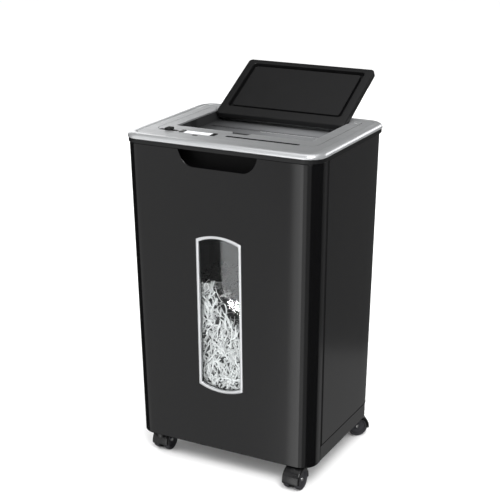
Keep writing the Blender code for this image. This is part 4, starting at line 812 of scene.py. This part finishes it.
class SHREDDER_OT_deck_trim(bpy.types.Operator):
    """Line the card slot with a dark lip of painted shade that widens the slot's shadow, and lay
    the dark joint line round the deck
    """
    bl_idname = "shredder.deck_trim"
    bl_label = "Deck trim"

    def execute(self, context):
        slot = (*SLOT_ACROSS, CONTROL_Y - SLOT_HALF, CONTROL_Y + SLOT_HALF)
        # painted shade: the slot's walls are dark and a lip reaches 0.7 mm past its edge onto the
        # deck, widening the shadow of the slot
        wall, lip = 0.00016, -0.0007
        levels = [(inset(slot, wall), 0.0008, DECK_LOW.z),
                  (inset(slot, wall), 0.0008, DECK_TOP + 0.0002),
                  (inset(slot, wall - 0.0001), 0.0009, DECK_TOP + 0.0003),
                  (inset(slot, lip + 0.0002), 0.0015, DECK_TOP + 0.0003),
                  (inset(slot, lip), 0.0016, DECK_TOP + 0.0001),
                  (inset(slot, 0.00003), 0.0010, DECK_TOP + 0.0001),
                  (inset(slot, 0.00003), 0.0010, DECK_LOW.z)]
        surface("slot_shadow_liner", [patch(loft(levels, 5), wrap_rows=True, wrap_columns=True)],
                "black_joint_and_painted_shade", "cabinet", angle=40.0)
        side = DECK_HIGH.x - 0.0155
        joint = (-side, side, CONTROL_Y, DECK_HIGH.y - 0.0125)
        width, low, high = 0.0009, DECK_TOP - 0.00069, DECK_TOP - 0.00025
        levels = [(inset(joint, 0.00003), 0.0119, low), (inset(joint, 0.00003), 0.0119, high),
                  (inset(joint, width - 0.00003), 0.0111, high),
                  (inset(joint, width - 0.00003), 0.0111, low)]
        line = loft(levels, 6).transpose(1, 0, 2)[:-1]
        right_end = line[:1].copy()
        right_end[..., 0] = slot[1] + 0.002
        line = np.concatenate([right_end, line])
        surface("deck_joint_line", [closed_strip(line)], "black_joint_and_painted_shade", "cabinet",
                angle=40.0)
        return {"FINISHED"}


# ------------------------------------------------------------------ controls
def capped_block(rect, radius, low, high, fillet, dish=0.0):
    """Block with a rounded top edge; the top may dish down towards its middle."""
    levels = round_over(rect, radius, low, high, fillet)
    x0, x1, y0, y1 = inset(rect, fillet)
    room = min(x1 - x0, y1 - y0) / 2
    for share in (0.25, 0.5, 0.75, 0.94):
        by = room * share
        levels.append((inset(rect, fillet + by), max(radius - fillet - by, 0.0001),
                       high - dish * math.sin(share * math.pi / 2)))
    return closed_strip(loft(levels, 5))


def node_rect(node, grow=0.0):
    low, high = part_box(node)
    return (low.x - grow, high.x + grow, low.y - grow, high.y + grow)


class SHREDDER_OT_controls(bpy.types.Operator):
    """Build the slide knob, the push buttons, the light bar, the status light and the plug"""
    bl_idname = "shredder.controls"
    bl_label = "Controls"

    def execute(self, context):
        low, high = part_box("power_slider")
        rect = node_rect("power_slider")
        parts = [capped_block(rect, 0.0018, DECK_TOP + GAP, high.z, 0.0011, 0.0005)]
        middle = (rect[0] + rect[1]) / 2
        for step in (-1, 0, 1):
            x = middle + step * 0.0026
            bar = (x - 0.0006, x + 0.0006, rect[2] + 0.0024, rect[3] - 0.0024)
            parts.append(capped_block(bar, 0.0005, high.z - 0.0012, high.z, 0.0004))
        stem = (middle - 0.0018, middle + 0.0018, CONTROL_Y - 0.0013, CONTROL_Y + 0.0013)
        parts.append(capped_block(stem, 0.0004, low.z, DECK_TOP + 0.0010, 0.0002))
        surface("slide_knob", parts, "black_moulding", "slider", ("power_slider",))
        for node, body in (("button_reverse", "reverse_key"), ("button_forward", "forward_key")):
            low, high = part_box(node)
            surface(node + "_cap", [capped_block(node_rect(node), 0.0009, low.z, high.z,
                                                 0.0006)],
                    "black_gloss", body, (node,))
        low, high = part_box("indicator_lens")
        surface("light_bar", [capped_block(node_rect("indicator_lens"), 0.0012, low.z,
                                           high.z, 0.0007)],
                "frosted_lens", "cabinet", ("indicator_lens",))
        for node, name, finish, slot in (
                ("status_led", "status_light", "black_gloss", "black"),
                ("service_plug", "service_cap", "silver_paint", "silver")):
            low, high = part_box(node)
            rect = node_rect(node)
            radius = min(rect[1] - rect[0], rect[3] - rect[2]) / 2 - 0.0001
            surface(name, [capped_block(rect, radius, low.z, high.z, 0.0004, 0.0003)],
                    finish, "cabinet", (node,))
        return {"FINISHED"}


# ------------------------------------------------------------------ feed cover
COVER_ENDS = (-0.1363, 0.010)      # free edge and hinge edge, from the hinge line, drawn shut
COVER_SKIN = (0.0036, -0.0076)     # outer and inner face, from the hinge line
COVER_ROUND, COVER_CORNER = 0.0022, 0.007


class SHREDDER_OT_feed_cover(bpy.types.Operator):
    """Build the hinged feed cover, standing open behind the tray"""
    bl_idname = "shredder.feed_cover"
    bl_label = "Feed cover"

    def execute(self, context):
        hinge = next(j for j in frame["joints"] if j["name"] == "cover_hinge")
        pivot = np.array(hinge["pos_m"])
        tilt = math.radians(hinge["range_deg"][1])
        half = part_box("feed_cover")[1].x
        tip, tail = COVER_ENDS
        top, bottom = COVER_SKIN
        rect = (-half, half, tip, tail)
        hollow = (-half + 0.014, half - 0.014, tip + 0.010, -0.010)
        fillet = COVER_ROUND
        t = np.linspace(0.0, math.pi / 2, 5)
        outer = [(inset(rect, fillet * (1 - math.sin(a))),
                  COVER_CORNER - fillet * (1 - math.sin(a)),
                  bottom + fillet * (1 - math.cos(a))) for a in t]
        outer += round_over(rect, COVER_CORNER, 0.0, top, fillet)
        levels = list(reversed(outer))
        levels += [(inset(hollow, -0.0006), 0.0066, bottom), (hollow, 0.006, bottom + 0.0006),
                   (hollow, 0.006, top - 0.0031), (inset(hollow, 0.0006), 0.0054, top - 0.0025)]
        grid = loft(levels, 9)
        y, z = grid[..., 1].copy(), grid[..., 2].copy()
        grid[..., 1] = pivot[1] + y * math.cos(tilt) + z * math.sin(tilt)
        grid[..., 2] = pivot[2] - y * math.sin(tilt) + z * math.cos(tilt)
        surface("cover_shell", [closed_strip(grid)], "black_moulding", "cover", ("feed_cover",))
        return {"FINISHED"}


# ------------------------------------------------------------------ casters
def stand_at(grid, x, y, heading):
    """Points turned about Z by the heading and moved to the caster's stem."""
    c, s = math.cos(heading), math.sin(heading)
    moved = grid.copy()
    moved[..., 0] = x + grid[..., 0] * c - grid[..., 1] * s
    moved[..., 1] = y + grid[..., 0] * s + grid[..., 1] * c
    return moved


def upright(profile, steps=20):
    """Surface of revolution about Z: each (radius, height) is carried round the axis."""
    radius, height = np.array(profile, float).T
    angle = np.linspace(0.0, 2 * math.pi, steps, endpoint=False)
    return np.stack([np.outer(radius, np.cos(angle)), np.outer(radius, np.sin(angle)),
                     np.repeat(height[:, None], steps, axis=1)], axis=2)


class SHREDDER_OT_casters(bpy.types.Operator):
    """Build the four twin-wheel casters with their hoods and axle ends"""
    bl_idname = "shredder.casters"
    bl_label = "Casters"

    def execute(self, context):
        joints = {j["name"]: j for j in frame["joints"]}
        half = WEB_W / 2 + WHEEL_W + 0.0006
        rim = np.linspace(0.0, math.pi / 2, 6)
        side = [(HOOD_R - 0.0030 + 0.0030 * math.sin(a), half - 0.0030 + 0.0030 * math.cos(a))
                for a in rim]
        shell = ([(HOOD_R - 0.0022 - 0.0030, half)] + side
                 + [(r, -d) for r, d in reversed(side)] + [(HOOD_R - 0.0022 - 0.0030, -half)])
        inner = [(HOOD_R - 0.0022 - 0.0030, -half + 0.0008),
                 (HOOD_R - 0.0019, -half + 0.0022), (HOOD_R - 0.0019, half - 0.0022),
                 (HOOD_R - 0.0022 - 0.0030, half - 0.0008)]
        arch = turned(shell + inner, 31, -0.14, math.pi + 0.28)
        web = turned([(0.0001, -WEB_W / 2), (WHEEL_R - 0.0015, -WEB_W / 2),
                      (WHEEL_R - 0.0015, WEB_W / 2), (0.0001, WEB_W / 2)], 24)
        fork = loft([((-WEB_W / 2, WEB_W / 2, -0.008, 0.008), 0.001, 0.0),
                     ((-WEB_W / 2, WEB_W / 2, -0.008, 0.008), 0.001, HOOD_R - 0.0010)], 3)
        neck = upright([(0.0095, WHEEL_R + 0.0105), (0.0095, CAB_BOTTOM - 0.0018),
                        (0.0088, CAB_BOTTOM - 0.0005)])
        stem = upright([(0.0040, CAB_BOTTOM - 0.002), (0.0040, 0.0612), (0.0036, 0.0615)], 14)
        inside = WEB_W / 2 + 0.0005
        outside = WEB_W / 2 + WHEEL_W
        tread = [(0.0001, outside - 0.0024), (0.0062, outside - 0.0024),
                 (0.0070, outside - 0.0031), (WHEEL_R - 0.0052, outside - 0.0031),
                 (WHEEL_R - 0.0044, outside - 0.0012), (WHEEL_R - 0.0036, outside - 0.0002),
                 (WHEEL_R - 0.0024, outside), (WHEEL_R - 0.0010, outside - 0.0006),
                 (WHEEL_R - 0.0003, outside - 0.0018), (WHEEL_R, outside - 0.0034),
                 (WHEEL_R, inside + 0.0022), (WHEEL_R - 0.0006, inside + 0.0008),
                 (WHEEL_R - 0.0018, inside), (0.0001, inside)]
        axle = [(0.0001, outside - 0.0009), (0.0016, outside - 0.0010),
                (0.0028, outside - 0.0016), (0.0032, outside - 0.0024)]
        for place in ("front_left", "front_right", "rear_left", "rear_right"):
            roll = joints["wheels_" + place + "_roll"]
            stem_at = joints["swivel_" + place + "_turn"]["pos_m"]
            heading = math.atan2(roll["axis"][1], roll["axis"][0])
            offset = (roll["pos_m"][0] - stem_at[0], roll["pos_m"][1] - stem_at[1])
            reach = -math.sin(heading) * offset[0] + math.cos(heading) * offset[1]
            away = np.array([0.0, reach, WHEEL_R])
            hood_parts = [closed_strip(stand_at(arch + away, *stem_at[:2], heading)),
                          patch(stand_at(web + away, *stem_at[:2], heading), wrap_rows=True)]
            hood_parts += [closed_strip(stand_at(grid, *stem_at[:2], heading))
                           for grid in (fork + away, neck, stem)]
            surface("hood_" + place, hood_parts, "black_gloss", "swivel_" + place,
                    ("caster_hood_" + place,))
            wheels, ends = [], []
            for mirror in (-1.0, 1.0):
                flip = np.array([mirror, 1.0, 1.0])
                for profile, into in ((tread, wheels), (axle, ends)):
                    grid = turned(profile, 40) * flip + away
                    into.append(patch(stand_at(grid, *stem_at[:2], heading), wrap_rows=True))
            hub = turned([(0.0040, -inside - 0.001), (0.0040, inside + 0.001)], 20) + away
            wheels.append(patch(stand_at(hub, *stem_at[:2], heading), wrap_rows=True))
            surface("wheels_" + place + "_tyres", wheels, "rubber", "wheels_" + place,
                    ("caster_wheels_" + place,))
            surface("axle_ends_" + place, ends, "bright_steel", "wheels_" + place)
        return {"FINISHED"}


# ------------------------------------------------------------------ finishes on the frame's pieces
FINISHES = {
    "charcoal_paint": ("rear_panel", "base"),
    "black_moulding": ("head_housing", "interlock_tab", "power_inlet",
                       "card_guide", "slider_bed", "pressure_plate"),
    # painted shade: the handle pocket is made darker than the black plastic, standing for the
    # shade in the recess
    "black_joint_and_painted_shade": ("handle_pocket",),
    "grey_moulding": ("interlock_switch",),
    # the feed tray's finish carries painted shade
    "tray_painted_shade_moulding": ("feed_tray",),
    "brushed_deck": ("deck",),
    "tub_moulding": ("bin_tub",),
    "machined_steel": ("chassis", "cutter_plate_left", "cutter_plate_right", "cutter_shaft_front",
                       "cutter_shaft_rear", "sync_gear_front", "sync_gear_rear", "drive_gear",
                       "motor", "motor_pinion", "feed_shaft", "comb_front", "comb_rear",
                       "head_shelf_left", "head_shelf_right", "drawer_rail_left",
                       "drawer_rail_right", "hinge_pin_left", "hinge_pin_right"),
    "rubber": ("feed_tyre_left", "feed_tyre_right", "pinch_roller"),
    "nylon": ("compound_gear", "feed_drive_gear", "feed_gear"),
    "laminate": ("control_board",),
}


class SHREDDER_OT_finishes(bpy.types.Operator):
    """Give the pieces that keep their shape their paint, plastic, steel and rubber"""
    bl_idname = "shredder.finishes"
    bl_label = "Finishes"

    def execute(self, context):
        for finish, nodes in FINISHES.items():
            for node in nodes:
                mesh = frame["nodes"][node].data
                mesh.materials.clear()
                mesh.materials.append(look(finish))
        return {"FINISHED"}


# ------------------------------------------------------------------ studio
def softbox(name, azimuth, elevation, distance, size, radiance):
    """Soft rectangular light that faces the middle of the object. Its power is its radiance
    times pi times its area. Azimuth 0 is in front and 90 to the right."""
    turn, rise = math.radians(azimuth), math.radians(elevation)
    away = Vector((math.sin(turn) * math.cos(rise), -math.cos(turn) * math.cos(rise),
                   math.sin(rise)))
    light = bpy.data.lights.new(name, "AREA")
    light.shape = "RECTANGLE"
    light.size, light.size_y = size
    light.energy = radiance * math.pi * size[0] * size[1]
    obj = bpy.data.objects.new(name, light)
    bpy.context.scene.collection.objects.link(obj)
    obj.location = Vector((0.0, 0.0, 0.3)) + away * distance
    obj.rotation_euler = away.to_track_quat("Z", "Y").to_euler()
    return obj


SOFTBOXES = (
    ("front_sheet", -46.0, -8.0, 3.2, (2.6, 3.6), 0.74),
    ("corner_near", -12.2, -12.0, 3.2, (1.00, 3.4), 2.3),
    ("corner_mid", 8.0, -12.0, 3.2, (1.34, 3.4), 1.1),
    ("corner_far", 32.0, -12.0, 3.2, (1.34, 3.4), 0.4),
    ("side_mid", 152.0, -24.0, 3.0, (2.6, 2.4), 0.14),
    ("side_low", 152.0, -38.0, 3.0, (2.6, 1.4), 0.17),
    ("deck_card", 227.0, 17.0, 3.2, (1.5, 1.1), 1.9),
    ("overhead", 0.0, 88.0, 2.6, (2.4, 2.4), 1.0),
    ("key_right", 38.0, 44.0, 3.0, (1.2, 1.2), 14.0),
    ("rim_front_card", -42.0, 36.0, 3.0, (2.4, 1.3), 0.65),
    ("edge_card", 194.0, -12.0, 3.2, (0.7, 2.4), 4.0),
    ("rim_right_card", 156.0, 19.0, 3.0, (1.8, 0.8), 2.4),
)
SIDE_FILLS = (
    ("fill_right", 90.0, -2.0, 3.2, (3.0, 3.4), 0.8),
    ("fill_left", -90.0, -2.0, 3.2, (3.0, 3.4), 0.8),
)
WINDOW_CARDS = (
    ("window_card", (-1.735, -1.600), (-1.13, -0.70), 9.5),
    ("window_glint", (-1.712, -1.612), (-1.185, -1.125), 62.0),
)
WINDOW_CARD_Y = -3.2
CAMERA_AT = (0.9153, -1.7579, 1.0118)
CAMERA_ANGLES = (18.41, 27.84, -0.19)      # down, turn and roll, in degrees
CAMERA_LENS = 90.52


class SHREDDER_OT_stage(bpy.types.Operator):
    """Set the pale floor, the soft lights and the camera"""
    bl_idname = "shredder.stage"
    bl_label = "Studio"

    def execute(self, context):
        scene = context.scene
        reach = 30.0
        mesh = bpy.data.meshes.new("studio_floor")
        mesh.from_pydata([(-reach, -reach, -0.0002), (reach, -reach, -0.0002),
                          (reach, reach, -0.0002), (-reach, reach, -0.0002)],
                         [], [(0, 1, 2, 3)])
        floor = bpy.data.objects.new("studio_floor", mesh)
        scene.collection.objects.link(floor)
        made, tree, shader, _ = fresh_material("studio_floor")
        set_inputs(tree, shader, {"Base Color": (*colours().floor, 1.0), "Roughness": 0.9,
                                  "Specular IOR Level": 0.1})
        mesh.materials.append(made)
        floor.visible_glossy = False

        world = bpy.data.worlds.new("studio")
        world.use_nodes = True
        scene.world = world
        tree = world.node_tree
        ambient = tree.nodes["Background"]
        white = (1.0, 1.0, 1.0, 1.0)
        set_inputs(tree, ambient, {"Color": white, "Strength": 1.06})
        dim = add_node(tree, "Background", {"Color": white, "Strength": 0.02})
        path = tree.nodes.new("ShaderNodeLightPath")
        mix = add_node(tree, "MixShader", {"Fac": path.outputs["Is Glossy Ray"],
                                           1: ambient.outputs["Background"],
                                           2: dim.outputs["Background"]})
        tree.links.new(mix.outputs["Shader"], tree.nodes["World Output"].inputs["Surface"])

        for box in SOFTBOXES:
            softbox(*box)
        sides = bpy.data.collections.new("side_receivers")
        for name in ("side_skin_left", "side_skin_right"):
            sides.objects.link(bpy.data.objects[name])
        for box in SIDE_FILLS:
            softbox(*box).light_linking.receiver_collection = sides
        pane_only = bpy.data.collections.new("window_receivers")
        pane_only.objects.link(bpy.data.objects["window_clear"])
        for name, across, up, radiance in WINDOW_CARDS:
            light = bpy.data.lights.new(name, "AREA")
            light.shape = "ELLIPSE" if name == "window_glint" else "RECTANGLE"
            light.size, light.size_y = across[1] - across[0], up[1] - up[0]
            light.energy = radiance * math.pi * light.size * light.size_y
            card = bpy.data.objects.new(name, light)
            scene.collection.objects.link(card)
            card.location = (sum(across) / 2, WINDOW_CARD_Y, sum(up) / 2)
            card.rotation_euler = (math.radians(90.0), 0.0, 0.0)
            if name == "window_glint":
                card.rotation_euler.y = math.radians(24.0)
            card.light_linking.receiver_collection = pane_only

        scene.view_settings.view_transform = "Standard"
        scene.view_settings.look = "None"
        camera = bpy.data.cameras.new("camera")
        camera.lens = CAMERA_LENS
        camera.sensor_width = 36.0
        camera.clip_end = 100.0
        obj = bpy.data.objects.new("camera", camera)
        scene.collection.objects.link(obj)
        down, turn, lean = (math.radians(a) for a in CAMERA_ANGLES)
        aim = Euler((math.pi / 2 - down, 0.0, turn)).to_matrix()
        roll = Matrix.Rotation(lean, 3, "Z")
        obj.matrix_world = Matrix.Translation(CAMERA_AT) @ (aim @ roll).to_4x4()
        scene.camera = obj
        return {"FINISHED"}


# ------------------------------------------------------------------ add-on
OPERATORS = (SHREDDER_OT_finishes, SHREDDER_OT_drawer_front, SHREDDER_OT_window,
             SHREDDER_OT_shreds, SHREDDER_OT_side_panels, SHREDDER_OT_rim, SHREDDER_OT_deck_trim,
             SHREDDER_OT_controls, SHREDDER_OT_feed_cover, SHREDDER_OT_casters,
             SHREDDER_OT_stage)


class SHREDDER_PT_panel(bpy.types.Panel):
    """Lists the shredder's settings and pieces"""
    bl_idname = "SHREDDER_PT_panel"
    bl_label = "Shredder"
    bl_space_type = "VIEW_3D"
    bl_region_type = "UI"
    bl_category = "Shredder"

    def draw(self, context):
        column = self.layout.column()
        for group in (context.scene.shredder_sizes, context.scene.shredder_colours):
            for key in group.bl_rna.properties.keys():
                if key not in ("rna_type", "name"):
                    column.prop(group, key)
        for operator in OPERATORS:
            column.operator(operator.bl_idname)


CLASSES = (ShredderSizes, ShredderColours, *OPERATORS, SHREDDER_PT_panel)


def register():
    for cls in CLASSES:
        bpy.utils.register_class(cls)
    bpy.types.Scene.shredder_sizes = bpy.props.PointerProperty(type=ShredderSizes)
    bpy.types.Scene.shredder_colours = bpy.props.PointerProperty(type=ShredderColours)


def unregister():
    del bpy.types.Scene.shredder_colours
    del bpy.types.Scene.shredder_sizes
    for cls in reversed(CLASSES):
        bpy.utils.unregister_class(cls)


def main():
    register()
    for operator in OPERATORS:
        group, name = operator.bl_idname.split(".")
        getattr(getattr(bpy.ops, group), name)()


if __name__ == "__main__":
    main()
